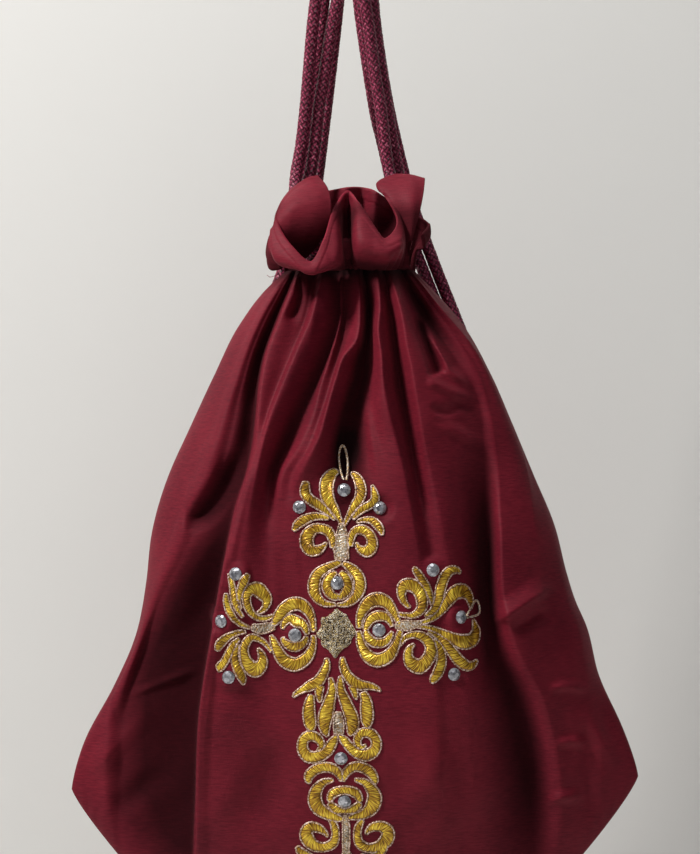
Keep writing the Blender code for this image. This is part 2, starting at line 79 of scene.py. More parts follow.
# The drawcords
# Two round braids of shiny synthetic yarn, 7 mm thick. Each leaves a bottom corner, passes over
# the hook, goes round the neck through both casings, and comes back beside itself.
CORD = 0.007
BRAID_YARNS = 7  # yarns each way round
BRAID_REPEAT = 0.0036  # along the cord, from one yarn to the next
CORD_SIDES, CORD_STEP = 28, 0.00082  # points round the cord, and the distance between its rings
LEFT_ROUTE = (
    (-149, 15, -476), (-141, 19, -458), (-130, 22, -438), (-119, 26, -416), (-110, 28, -394),
    (-103, 29, -370), (-97, 29.5, -346), (-90, 30, -322), (-82, 30, -300), (-73, 29.5, -278),
    (-64, 29, -256), (-55, 28, -234), (-46, 27.5, -212), (-38, 27.5, -190), (-32, 27.5, -168),
    (-28, 26, -146), (-25, 23.5, -122), (-22, 21, -98), (-19, 18, -72), (-16, 15.5, -46),
    (-13.5, 14, -22),
    (-13, 11.2, -9.0), (-13, 5.2, -4.2), (-13, -1.6, -3.6), (-13.2, -9.0, -6.4), (-13.8, -13.2, -13.0),
    (-15.2, -14, -24), (-19, -12.5, -42), (-21.5, -9.5, -62), (-23.5, -5.0, -84), (-25.5, 0.0, -104),
    (-28.0, 3.5, -124), (-30.5, 3.8, -138), (-31.4, -0.4, -149), (-31.2, -7.4, -160),
    (-29.8, -13.6, -170.5), (-24.6, -16.6, -179.4), (-15.8, -16.7, -183.4), (-6, -16.7, -183.5),
    (3, -16.7, -183.5), (9.5, -16.6, -183.5), (16.0, -14.2, -183.5), (20.8, -9.2, -183.5),
    (22.7, -2.0, -183.5), (20.8, 5.2, -183.5), (16.0, 10.2, -183.5), (9.5, 12.6, -183.5),
    (3, 12.7, -183.5), (-6, 12.7, -183.5), (-15.8, 12.7, -183.4), (-24.6, 12.6, -179.6),
    (-29.4, 11.8, -171), (-29.6, 10.8, -161), (-26.8, 9.8, -150), (-22.8, 8.5, -139),
    (-20.2, 6.5, -124), (-18.0, 3.5, -104), (-14.5, -1.5, -84), (-11.0, -6.5, -62),
    (-7.0, -11.5, -42), (-5.2, -14, -24),
    (-4.8, -13.2, -13.0), (-4.6, -9.0, -6.4), (-4.6, -1.6, -3.6), (-4.6, 5.2, -4.2), (-4.8, 11.2, -9.0),
    (-5.4, 14, -22), (-7.5, 16.5, -46), (-13.6, 21.5, -98), (-19.8, 26.5, -146),
    (-23.6, 27.5, -168), (-29.4, 27.5, -190), (-37.2, 27.5, -212), (-46.2, 28, -234),
    (-64.6, 29.5, -278), (-81.4, 30, -322), (-94.8, 29, -370), (-101.8, 28, -394),
    (-110.6, 26, -416), (-121.6, 22, -438), (-132.8, 19, -458), (-141, 15, -476),
)
RIGHT_ROUTE = (
    (149, 15, -468), (141, 19, -450), (132, 22, -428), (124, 25.5, -404), (117, 27.5, -380),
    (110, 29, -356), (102, 30, -330), (93, 30, -304), (84, 29.5, -278), (75, 29, -254),
    (66, 28.5, -232), (58, 28, -212), (50, 27.5, -192), (42.5, 27.5, -172), (36, 27, -154),
    (31, 24.5, -136), (26.5, 22.5, -118), (22, 20, -98), (17.5, 17.5, -72), (14, 15.5, -46),
    (12.6, 14, -22),
    (12.4, 11.2, -9.0), (12.4, 5.2, -4.2), (12.4, -1.6, -3.6), (12.4, -8.6, -6.2), (12.4, -11.5, -13.0),
    (12.4, -10, -24), (12.8, -5.5, -42), (15.0, 0.5, -62), (18.4, 4.5, -84), (21.6, 7.5, -104),
    (25.0, 10.0, -124), (28.4, 12.0, -141), (30.6, 12.9, -156), (30.6, 12.9, -170),
    (28.8, 12.8, -180), (24.0, 12.7, -187.4), (16.2, 12.7, -191.1), (5, 12.7, -191.2),
    (-5, 12.7, -191.2), (-14.5, 12.7, -191.2), (-21.5, 11.2, -191.2), (-27.0, 6.6, -191.2),
    (-29.9, -2.0, -191.2), (-27.0, -10.6, -191.2), (-21.5, -15.2, -191.2), (-14.5, -16.7, -191.2),
    (-5, -16.7, -191.2), (5, -16.7, -191.2), (16.2, -16.7, -191.1), (24.0, -16.7, -187.4),
    (29.0, -16.0, -180), (30.6, -13.6, -170), (29.4, -8.4, -160), (26.0, -2.4, -150),
    (22.4, 1.6, -139), (20.0, 1.2, -124), (17.6, -1.0, -104), (14.2, -4.0, -84), (11.2, -8.0, -62),
    (8.0, -12.6, -42), (5.2, -14, -24),
    (4.2, -13.2, -13.0), (4.0, -9.0, -6.4), (4.0, -1.6, -3.6), (4.0, 5.2, -4.2), (4.0, 11.2, -9.0),
    (4.2, 14, -22), (6.0, 16.5, -46), (14.0, 21.5, -98), (18.6, 24, -118),
    (23.0, 26.5, -136), (28.0, 27.2, -154), (34.2, 27.5, -172), (50.0, 28, -212), (67.0, 29, -254),
    (85.2, 30, -304), (102.0, 29, -356), (116.0, 25.5, -404), (123.8, 22, -428), (132.8, 19, -450),
    (141, 15, -468),
)


def curve_through(rows, at):
    """Smooth curve through rows evenly spaced from 0 to 1, read at each of at (Catmull-Rom)."""
    rows = np.asarray(rows, float)
    place = np.clip(np.asarray(at, float), 0, 1) * (len(rows) - 1)
    low = np.minimum(place.astype(int), len(rows) - 2)
    t = (place - low)[:, None]
    padded = np.vstack([2 * rows[0] - rows[1], rows, 2 * rows[-1] - rows[-2]])
    a, b, c, d = (padded[low + k] for k in range(4))
    return b + 0.5 * t * (c - a + t * (2 * a - 5 * b + 4 * c - d + t * (3 * (b - c) + d - a)))


def evenly_along(rows, step):
    """The smooth curve through rows, cut into equal steps: finely read, then read by its length."""
    fine = curve_through(rows, np.linspace(0, 1, 24 * len(rows)))
    long = np.concatenate([[0], np.cumsum(np.linalg.norm(np.diff(fine[:, :3], axis=0), axis=1))])
    at = np.linspace(0, long[-1], max(3, int(round(long[-1] / step)) + 1))
    return np.stack([np.interp(at, long, fine[:, k]) for k in range(fine.shape[1])], axis=-1)


def frames_along(line):
    """Two directions square to a line at each point, carried along it without twisting.

    Each is the last one less its part along the new direction of travel.
    """
    travel = np.gradient(line, axis=0)
    travel /= np.maximum(np.linalg.norm(travel, axis=1, keepdims=True), 1e-12)
    side = np.zeros_like(line)
    last = np.array([0.31, 0.87, 0.38])
    for i, t in enumerate(travel):
        last = last - t * (last @ t)
        last /= np.linalg.norm(last)
        side[i] = last
    return side, np.cross(travel, side)


def grid_faces(rows, columns, closed=False, looped=False):
    """Four-cornered faces of a grid of points.

    Its last column is joined to its first if closed, and its last row to its first if looped.
    """
    index = np.arange(rows * columns).reshape(rows, columns)
    if looped:
        index = np.concatenate([index, index[:1]])
    if closed:
        index = np.concatenate([index, index[:, :1]], axis=1)
    corners = [index[:-1, :-1], index[1:, :-1], index[1:, 1:], index[:-1, 1:]]
    return np.stack(corners, axis=-1).reshape(-1, 4)


def add_piece(name, points, faces, material, maps=None, smooth=True, turns=0):
    """A mesh piece that rides on the bag. maps are the two UV values of each point.

    Round a tube the first runs from 0 to turns, so the last column's faces are carried on past it.
    """
    mesh = bpy.data.meshes.new(name)
    faces = faces if isinstance(faces, list) else faces.tolist()
    mesh.from_pydata(points.reshape(-1, 3).tolist(), [], faces)
    if maps is not None:
        corner = np.zeros(len(mesh.loops), np.int32)
        mesh.loops.foreach_get("vertex_index", corner)
        layer = mesh.uv_layers.new(name="along")
        placed = maps.reshape(-1, 2)[corner].astype(np.float32)
        if turns:
            quads = placed[:4 * (len(mesh.polygons) - 2)].reshape(-1, 4, 2)
            across = np.ptp(quads[..., 0], axis=1) > turns / 2
            quads[..., 0] += turns * (across[:, None] & (quads[..., 0] < turns / 2))
        layer.data.foreach_set("uv", placed.ravel())
    mesh.polygons.foreach_set("use_smooth", np.full(len(mesh.polygons), smooth))
    mesh.materials.append(material)
    piece = bpy.data.objects.new(name, mesh)
    bpy.context.scene.collection.objects.link(piece)
    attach(piece, "root")
    return piece


def tube_points(line, radius, sides):
    """Rings round a line: centre plus radius times the cosine and sine of two square directions.

    radius is one number, one per ring, or one per ring and side.
    """
    side, up = frames_along(line)
    turn = np.linspace(0, math.tau, sides, endpoint=False)
    radius = np.broadcast_to(np.asarray(radius, float).reshape(-1, 1) if np.ndim(radius) == 1
                             else np.asarray(radius, float), (len(line), sides))
    out = side[:, None, :] * np.cos(turn)[None, :, None] + up[:, None, :] * np.sin(turn)[None, :, None]
    return line[:, None, :] + out * radius[..., None]


def tube_faces(rings, sides):
    """The faces of a tube with a flat cap at each end."""
    faces = [tuple(f) for f in grid_faces(rings, sides, closed=True).tolist()]
    return faces + [tuple(range(sides)), tuple(range((rings - 1) * sides, rings * sides))[::-1]]


def braid_height(along, turn):
    """Height of a plain braid, from 0 to 1: two families of yarns wind opposite ways.

    Their counters are the turn times the number of yarns, plus and minus the length over the
    repeat. Where the sines of the two have the same sign one family lies on top, and elsewhere
    the other does. A yarn's height across it is the absolute sine of its own counter.
    """
    one = np.sin(math.pi * (turn * BRAID_YARNS + along / BRAID_REPEAT))
    other = np.sin(math.pi * (turn * BRAID_YARNS - along / BRAID_REPEAT))
    return np.where(one * other > 0, np.abs(one), np.abs(other)) ** 0.7


def new_material(name, constants):
    """A material whose shader has these constants, and its node tree."""
    material = bpy.data.materials.new(name)
    material.use_nodes = True
    for socket, value in constants.items():
        material.node_tree.nodes["Principled BSDF"].inputs[socket].default_value = value
    return material, material.node_tree


def add_node(tree, kind, inputs, **settings):
    """A shader node. Each of its inputs has a value, or a link from another node's output."""
    node = tree.nodes.new("ShaderNode" + kind)
    for name, value in settings.items():
        setattr(node, name, value)
    for socket, value in inputs.items():
        if isinstance(value, bpy.types.NodeSocket):
            tree.links.new(value, node.inputs[socket])
        else:
            node.inputs[socket].default_value = value
    return node


def maths(tree, operation, *values):
    """What a Math node makes of its values."""
    return add_node(tree, "Math", dict(enumerate(values)), operation=operation).outputs["Value"]


def noise(tree, place, scale, detail=2):
    """Soft noise from 0 to 1, read at place."""
    return add_node(tree, "TexNoise", {"Vector": place, "Scale": scale, "Detail": detail}).outputs["Fac"]


def ramp(tree, tone, *stops):
    """The colour that a tone has between stops, each of them a place and a colour, in order."""
    made = add_node(tree, "ValToRGB", {"Fac": tone})
    elements = made.color_ramp.elements
    elements[0].position, elements[0].color = stops[0][0], (*stops[0][1], 1)
    elements[1].position, elements[1].color = stops[-1][0], (*stops[-1][1], 1)
    for place, colour in stops[1:-1]:
        elements.new(place).color = (*colour, 1)
    return made.outputs["Color"]


def bump(tree, height, strength, distance):
    """The normal of a surface with this relief."""
    inputs = {"Height": height, "Strength": strength, "Distance": distance}
    return add_node(tree, "Bump", inputs).outputs["Normal"]


def feed_shader(tree, outputs):
    """Leads each output to the shader's socket of that name."""
    for socket, output in outputs.items():
        tree.links.new(output, tree.nodes["Principled BSDF"].inputs[socket])


def braid_material():
    """Shiny yarn with the braid's own relief, as in braid_height, read from the UV map.

    Its colour is painted highlight and shade: pinkish where a yarn stands up, deep burgundy in the gaps, and
    each yarn differs a little.
    """
    material, tree = new_material("braided_yarn", {"Roughness": 0.48, "Specular IOR Level": 0.35})
    place = add_node(tree, "UVMap", {}, uv_map="along").outputs["UV"]
    apart = add_node(tree, "SeparateXYZ", {"Vector": place})
    counters = [maths(tree, way, apart.outputs["X"], apart.outputs["Y"]) for way in ("ADD", "SUBTRACT")]
    one, other = (maths(tree, "SINE", maths(tree, "MULTIPLY", count, math.pi)) for count in counters)
    over = maths(tree, "GREATER_THAN", maths(tree, "MULTIPLY", one, other), 0.0)
    under = maths(tree, "SUBTRACT", 1.0, over)
    on_top = maths(tree, "ADD", maths(tree, "MULTIPLY", maths(tree, "ABSOLUTE", one), over),
                   maths(tree, "MULTIPLY", maths(tree, "ABSOLUTE", other), under))
    fleck = maths(tree, "SUBTRACT", noise(tree, place, 1.6, 3), 0.34)
    # Painted highlight on the yarns' crowns and painted shade in the gaps between them.
    tone = maths(tree, "ADD", maths(tree, "MULTIPLY", maths(tree, "POWER", on_top, 1.6), 0.62),
                 maths(tree, "MULTIPLY", fleck, 1.15))
    colour = ramp(tree, tone, (0.08, (0.014, 0.001, 0.005)), (0.45, (0.115, 0.006, 0.026)),
                  (0.78, (0.27, 0.024, 0.070)), (1.0, (0.62, 0.17, 0.26)))
    relief = bump(tree, maths(tree, "POWER", on_top, 0.7), 0.9, 0.0006)
    feed_shader(tree, {"Base Color": colour, "Normal": relief})
    return material


def keep_painted_tone(piece, height):
    """Keeps a tone for each point, under the name height, which the material reads to paint shade and light.
    """
    layer = piece.data.attributes.new("height", "FLOAT", "POINT")
    layer.data.foreach_set("value", height.astype(np.float32).ravel())


def braid_maps(long, sides):
    """The two UV values of a braided tube: yarns round it, and repeats along it."""
    turn = np.linspace(0, BRAID_YARNS, sides, endpoint=False)[None, :]
    return np.stack(np.broadcast_arrays(turn, long / BRAID_REPEAT), axis=-1)


braid = braid_material()
cords = {}
for name, route, node in (
    ("left_drawcord_braid", LEFT_ROUTE, "left_drawcord"),
    ("right_drawcord_braid", RIGHT_ROUTE, "right_drawcord"),
):
    line = evenly_along(np.array(route) / 1000, CORD_STEP)
    long = np.arange(len(line))[:, None] * np.linalg.norm(line[1] - line[0])
    height = braid_height(long, np.linspace(0, 1, CORD_SIDES, endpoint=False)[None, :])
    rings = tube_points(line, CORD / 2 * (0.84 + 0.20 * height), CORD_SIDES)
    cord = add_piece(name, rings, tube_faces(len(line), CORD_SIDES), braid, braid_maps(long, CORD_SIDES),
                     turns=BRAID_YARNS)
    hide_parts(node)
    cords[name] = (cord, line)


# The knots
# Behind each bottom corner both ends of a cord are tied off in a small hard knot, sewn to a
# loop of the bag's own cloth in the seam.
KNOT_YARN = 0.0026  # half the thickness of the cord where it is pulled tight
KNOT_ACROSS, KNOT_BEHIND = 0.1475, 0.0150  # where a knot hangs, from the middle of the bag
KNOT_RINGS, KNOT_SIDES, KNOT_STEP = 181, 14, 0.0006
for side, name, z in ((-1, "left", -0.4824), (1, "right", -0.4746)):
    t = np.linspace(0, math.tau, KNOT_RINGS)
    line = np.stack([
        side * KNOT_ACROSS + 0.0021 * (2 + np.cos(3 * t)) * np.cos(2 * t),
        KNOT_BEHIND + 0.0030 * np.sin(3 * t),
        z + 0.0011 * (2 + np.cos(3 * t)) * np.sin(2 * t),
    ], axis=-1)
    long = np.arange(KNOT_RINGS)[:, None] * KNOT_STEP
    rings = tube_points(line, KNOT_YARN, KNOT_SIDES)
    knot = add_piece(name + "_knot_tied", rings, tube_faces(KNOT_RINGS, KNOT_SIDES), braid,
                     braid_maps(long, KNOT_SIDES), turns=BRAID_YARNS)
    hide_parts(name + "_knot")
    cord, line = cords[name + "_drawcord_braid"]


# The bag's cloth
# Two panels of suede-soft burgundy cloth, gathered at the neck and joined by plain seams at the
# sides and bottom. The left seam is turned to the front above its corner.
NECK_LEVEL = -0.1964
CORNER_DROP, RIGHT_CORNER_DROP, SAG = 0.2952, 0.2878, 0.1171
SEAM_TURN = math.radians(27)  # how far the left seam is turned to the front

# The bag from neck to corners: share of the way down the side seam, half widths to the left and
# right in pixels, and depths to the front and back in millimetres.
SECTION_COLUMNS = ("down", "left", "right", "front", "back")
SECTIONS = (
    (0.00, 65, 65, 23.0, 19.0),
    (0.03, 82, 80, 27.0, 20.5),
    (0.10, 110, 111, 34.0, 22.0),
    (0.20, 136, 140, 42.0, 24.0),
    (0.30, 160, 162, 47.0, 25.0),
    (0.40, 183, 183, 50.0, 25.5),
    (0.50, 198, 204, 52.0, 26.0),
    (0.60, 204, 217, 52.0, 26.0),
    (0.65, 208, 225, 51.0, 25.5),
    (0.70, 214, 236, 48.0, 25.0),
    (0.80, 236, 249, 42.0, 23.0),
    (0.90, 264, 272, 33.0, 20.0),
    (1.00, 282, 292, 25.0, 17.0),
)

# The long lines of the front, from left to right, in photo pixels from the hook: its crests and
# valleys, and one line on the near side of the first deep valley. Each has points of (down,
# across, height in millimetres). Between two neighbours the cloth eases from one height to the
# other, so a near neighbour makes a steep side.
LINES = (
    ((345, -70, -1), (396, -101, -2), (426, -116, -2), (457, -130, -2), (519, -152, -2), (585, -182, -1),
     (660, -208, 0), (760, -246, 0), (960, -254, 0)),
    ((345, -64, 2), (396, -96, 4), (426, -110, 5), (457, -121, 5), (519, -142, 5), (554, -156, 5),
     (588, -168, 4), (660, -199, 3), (760, -236, 1), (960, -244, 0)),
    ((345, -60, -2.5), (396, -87, -3.5), (426, -99, -4), (457, -108, -4), (519, -122, -3.5),
     (588, -148, -3), (636, -171, -4), (660, -184, -5), (700, -200, -6.5), (740, -214, -7),
     (780, -224, -6.5), (872, -230, -5), (960, -236, -2)),
    ((345, -56, -7), (396, -78, -11), (426, -89, -13), (457, -95, -13), (488, -98, -13), (519, -102, -12),
     (545, -106, -9), (576, -116, -8), (612, -124, -10), (636, -129, -14), (660, -134, -18),
     (700, -141, -22), (740, -148, -23), (780, -154, -22), (872, -158, -15), (960, -160, -5)),
    ((345, -51, 2), (396, -71, 5), (426, -82, 6), (457, -88, 7), (488, -91, 7), (519, -94, 8),
     (545, -101, 10), (576, -111, 11), (612, -119, 12), (636, -124, 13), (660, -129, 14), (700, -135, 14),
     (740, -142, 14), (780, -148, 13), (872, -152, 9), (960, -154, 3)),
    ((345, -32, -5), (377, -41, -4), (396, -47, -2), (426, -59, 0), (457, -72, 2), (488, -83, 5),
     (519, -91, 9), (545, -97, 11), (576, -106, 12), (636, -120, 13), (700, -131, 13), (780, -144, 12),
     (960, -150, 3)),
    ((345, -27, 2), (388, -38, 6), (426, -54, 8), (457, -67, 9), (488, -79, 10), (519, -88, 11),
     (545, -93, 11), (576, -100, 11), (636, -112, 11), (700, -122, 10), (780, -134, 9), (960, -140, 2)),
    ((345, -12, -6), (393, -11, -8), (426, -21, -8), (457, -35, -8), (488, -52, -8), (519, -66, -8),
     (545, -78, -7), (577, -82, -1), (620, -80, 2), (700, -76, 1), (780, -78, 0), (960, -80, 0)),
    ((345, -8, -4), (413, -16, -2), (434, -22, 0), (457, -29, 1), (488, -36, 2), (519, -50, 4),
     (545, -66, 3), (577, -70, 1), (620, -66, 1), (700, -60, 0), (960, -60, 0)),
    ((345, -4, -5), (404, -8, -7), (424, -11, -5), (446, -17, -2), (470, -24, 0), (488, -30, 1),
     (519, -42, 4), (545, -58, 2), (577, -62, 1), (620, -56, 1), (700, -50, 0), (960, -50, 0)),
    ((345, 8, 2), (383, 10, 5), (403, 9, 6), (416, 5, 8), (428, -6, 9), (449, -14, 9), (488, -25, 9),
     (507, -30, 9), (524, -38, 8), (541, -47, 6), (566, -56, 2), (600, -52, 1), (700, -40, 0),
     (960, -40, 0)),
    ((345, 14, -7), (377, 18, -10), (400, 18, -12), (425, 15, -13), (449, 12, -13), (470, 5, -13),
     (488, -1, -13), (511, -7, -11), (541, -12, -6), (562, -13, -2), (580, -14, -1), (620, -12, 0),
     (700, -10, 0), (960, -10, 0)),
    ((345, 27, 3), (381, 30, 6), (403, 28, 8), (426, 31, 9), (457, 33, 9), (488, 39, 9), (511, 45, 8),
     (541, 53, 8), (580, 60, 8), (640, 70, 7), (720, 80, 5), (820, 88, 3), (960, 92, 0)),
    ((345, 34, -4), (388, 41, -6), (426, 46, -7), (457, 50, -7), (488, 56, -6), (526, 62, -5),
     (560, 68, -2), (620, 80, 3), (720, 92, 3), (960, 100, 0)),
    ((345, 39, 2), (362, 45, 4), (393, 53, 7), (419, 57, 8), (437, 61, 8), (465, 66, 8), (488, 70, 7),
     (511, 74, 6), (541, 80, 5), (580, 88, 6), (640, 98, 5), (720, 110, 3), (820, 120, 2), (960, 124, 0)),
    ((345, 53, -5), (367, 65, -10), (384, 75, -11), (400, 85, -9), (418, 97, -6), (440, 111, -3),
     (462, 124, -2), (520, 134, -4), (600, 138, -10), (680, 140, -11), (720, 146, -9), (772, 166, -10),
     (832, 180, -10), (926, 182, -6), (960, 182, -3)),
    ((345, 58, -1), (393, 93, 0), (440, 127, 2), (480, 140, 1), (530, 148, 0), (600, 151, 4),
     (680, 156, 5), (720, 168, 4), (772, 194, 4), (832, 208, 4), (960, 210, 0)),
    ((345, 63, 2), (370, 82, 5), (393, 101, 6), (413, 118, 6), (440, 136, 5), (480, 156, 4), (530, 174, 3),
     (600, 184, 3), (700, 196, 3), (772, 216, 3), (832, 226, 2), (960, 228, 0)),
)

# Shorter folds and wrinkles of the front: the points of each crest or valley (across, down), its
# reach to the left and right, its height in millimetres, how crisp its crest is, and how much of
# its length it takes to fade in and out.
FOLDS = (
    (((-50, 350), (-50, 366), (-56, 384), (-62, 398)), 8, 9, -5.0, 0.4, 0.0, 0.4),
    (((-112, 520), (-124, 554), (-146, 584), (-170, 589)), 18, 16, -7.0, 0.5, 0.3, 0.12),
    (((-140, 560), (-158, 592), (-162, 620)), 10, 10, -2.5, 0.6, 0.4, 0.5),
    (((14, 460), (18, 495), (24, 526), (34, 580)), 7, 8, 2.4, 0.5, 0.3, 0.5),
    (((64, 385), (74, 405), (83, 430), (89, 447)), 9, 8, -8.0, 0.4, 0.3, 0.10),
    (((70, 393), (82, 413), (94, 431), (100, 443), (112, 453), (126, 462)), 6, 10, 4.0, 0.8, 0.2, 0.3),
    (((74, 452), (90, 458), (108, 466), (130, 474)), 7, 9, 2.6, 0.6, 0.2, 0.4),
    (((78, 478), (96, 484), (110, 478), (134, 486)), 7, 9, -2.4, 0.6, 0.2, 0.4),
    (((84, 498), (104, 502), (124, 512), (150, 520)), 9, 9, 2.0, 0.5, 0.3, 0.5),
    (((-192, 560), (-186, 600), (-178, 640)), 10, 18, -2.4, 0.5, 0.3, 0.5),
    (((140, 698), (162, 682), (184, 668), (206, 654)), 8, 16, 5.5, 0.8, 0.25, 0.4),
    (((160, 704), (184, 690), (206, 680)), 12, 10, -4.0, 0.5, 0.3, 0.4),
    (((-225, 769), (-190, 757), (-150, 744)), 6, 6, 1.8, 0.8, 0.3, 0.3),
    (((134, 560), (139, 640), (139, 720), (135, 780)), 9, 10, -2.6, 0.6, 0.3, 0.4),
    (((196, 560), (214, 640), (232, 720), (240, 800), (244, 930)), 26, 18, 3.0, 0.4, 0.3, 0.5),
    (((236, 780), (238, 850), (240, 930)), 14, 14, -2.6, 0.5, 0.3, 0.5),
    (((196, 762), (216, 757), (244, 762)), 7, 7, 2.6, 0.8, 0.4, 0.4),
    (((202, 816), (222, 812), (244, 817)), 7, 7, 2.4, 0.8, 0.4, 0.4),
    (((192, 876), (212, 868), (238, 868)), 8, 8, 2.6, 0.8, 0.4, 0.4),
    (((-262, 850), (-230, 812), (-190, 770)), 16, 18, 2.4, 0.5, 0.3, 0.6),
    (((-240, 890), (-206, 860), (-170, 850)), 16, 18, -2.2, 0.4, 0.3, 0.6),
    (((270, 842), (244, 800), (226, 770)), 14, 14, 2.4, 0.5, 0.3, 0.6),
    (((-60, 800), (-90, 860), (-110, 930)), 30, 34, -3.0, 0.3, 0.4, 0.5),
    (((60, 790), (84, 850), (96, 930)), 34, 30, 3.0, 0.3, 0.4, 0.5),
)
BACK_FOLDS = (
    (((-52, 350), (-66, 395), (-80, 440), (-130, 560)), 18, 20, -7.0, 0.5, 0.0, 0.5),
    (((-34, 350), (-42, 400), (-52, 450), (-84, 570)), 18, 20, 7.0, 0.7, 0.0, 0.5),
    (((-14, 350), (-17, 395), (-20, 440), (-34, 560)), 18, 18, -7.0, 0.5, 0.0, 0.5),
    (((6, 350), (8, 400), (10, 450), (12, 590)), 18, 20, 7.0, 0.7, 0.0, 0.5),
    (((26, 350), (31, 395), (38, 440), (62, 550)), 18, 18, -7.0, 0.5, 0.0, 0.5),
    (((48, 350), (60, 395), (76, 440), (118, 560)), 18, 22, 6.0, 0.7, 0.0, 0.5),
    (((-60, 600), (-96, 740), (-150, 880)), 50, 50, 6.0, 0.4, 0.4, 0.5),
    (((70, 600), (104, 740), (160, 870)), 50, 50, 6.0, 0.4, 0.4, 0.5),
    (((-4, 640), (0, 760), (-8, 900)), 44, 44, -3.5, 0.3, 0.4, 0.5),
)


def read_smoothly(places, values, at):
    """Values given at uneven places, read at each of at (cubic, with the slopes between them)."""
    places, values = np.asarray(places, float), np.asarray(values, float)
    slope = np.gradient(values, places)
    low = np.clip(np.searchsorted(places, at, side="right") - 1, 0, len(places) - 2)
    step = places[low + 1] - places[low]
    t = np.clip((at - places[low]) / step, 0, 1)
    rise = values[low + 1] - values[low]
    bend = slope[low] * (1 - t) - slope[low + 1] * t
    return values[low] + rise * t * t * (3 - 2 * t) + step * t * (1 - t) * bend


def section(name, down):
    """One column of SECTIONS at each share of the way down."""
    column = SECTION_COLUMNS.index(name)
    return read_smoothly([row[0] for row in SECTIONS], [row[column] for row in SECTIONS], down)


def seen(across, down, forward):
    """The point that shows at across and down (pixels) when it is forward (mm) of the seams."""
    nearer = 1 - np.asarray(forward, float) * 0.001 / VIEW_DISTANCE
    x = np.asarray(across, float) * PIXEL * nearer
    z = VIEW_LEVEL + (-np.asarray(down, float) * PIXEL - VIEW_LEVEL) * nearer
    return np.stack([x, -np.asarray(forward, float) * 0.001 + 0 * x, z], axis=-1)


def shown(points):
    """Across and down (pixels) where each point shows: the other way round from seen."""
    x, y, z = np.moveaxis(points, -1, 0)
    nearer = 1 + y / VIEW_DISTANCE
    return x / nearer / PIXEL, -(VIEW_LEVEL + (z - VIEW_LEVEL) / nearer) / PIXEL


def ease(x):
    """From 0 to 1 with a level start and end."""
    x = np.clip(x, 0, 1)
    return x * x * (3 - 2 * x)


def fold_heights(table, across, down):
    """Sum of the folds, in metres. Each is a bump on either side of its own curve.

    With t the distance over the reach, a soft bump is (1 - t squared) squared and a crisp one is
    (1 - t) to the power 1.7, its crest rounded off over 1.5 pixels.
    """
    total = np.zeros_like(across)
    for points, left, right, height, crisp, fade_in, fade_out in table:
        count = 8 * (len(points) - 1)
        line = curve_through(points, np.linspace(0, 1, count + 1))
        best = np.full(across.shape, 1e9)
        along = np.zeros_like(across)
        side = np.zeros_like(across)
        for i, (a, b) in enumerate(zip(line[:-1], line[1:])):
            step = b - a
            share = np.clip(((across - a[0]) * step[0] + (down - a[1]) * step[1]) / (step @ step), 0, 1)
            off = np.hypot(across - a[0] - share * step[0], down - a[1] - share * step[1])
            nearer = off < best
            best = np.where(nearer, off, best)
            along = np.where(nearer, (i + share) / count, along)
            side = np.where(nearer, step[0] * (down - a[1]) - step[1] * (across - a[0]), side)
        strength = ease((1 - along) / fade_out)
        widening = 0.5 + 0.5 * along
        if fade_in:
            strength = ease(along / fade_in) * strength
            widening = 0.7 + 0.3 * along
        width = np.where(side > 0, left, right) * widening * 1.25
        soft = np.clip(1 - (best / width) ** 2, 0, None) ** 2
        sharp = np.clip(1 - (np.sqrt(best**2 + 2.2) - 1.48) / width, 0, 1) ** 1.7
        total += height * 0.001 * strength * (crisp * sharp + (1 - crisp) * soft)
    return total


def line_heights(across, down, left, right):
    """Heights of the long lines, in metres, eased from each line to the next.

    The seams, at left and right, have no height. A fifth of each easing is a straight slope, which
    leaves a slight crease along a line.
    """
    places = [left] + [None] * len(LINES) + [right]
    heights = [np.zeros_like(across)] + [None] * len(LINES) + [np.zeros_like(across)]
    for k, rows in enumerate(LINES):
        levels = [row[0] for row in rows]
        places[k + 1] = np.maximum(read_smoothly(levels, [row[1] for row in rows], down), places[k] + 0.8)
        heights[k + 1] = read_smoothly(levels, [row[2] for row in rows], down)
    total = np.zeros_like(across)
    for k in range(len(places) - 1):
        t = (across - places[k]) / np.maximum(places[k + 1] - places[k], 0.4)
        between = heights[k] + (heights[k + 1] - heights[k]) * (0.8 * ease(t) + 0.2 * np.clip(t, 0, 1))
        total = np.where((t >= 0) & (t < 1), between, total)
    return total * 0.001


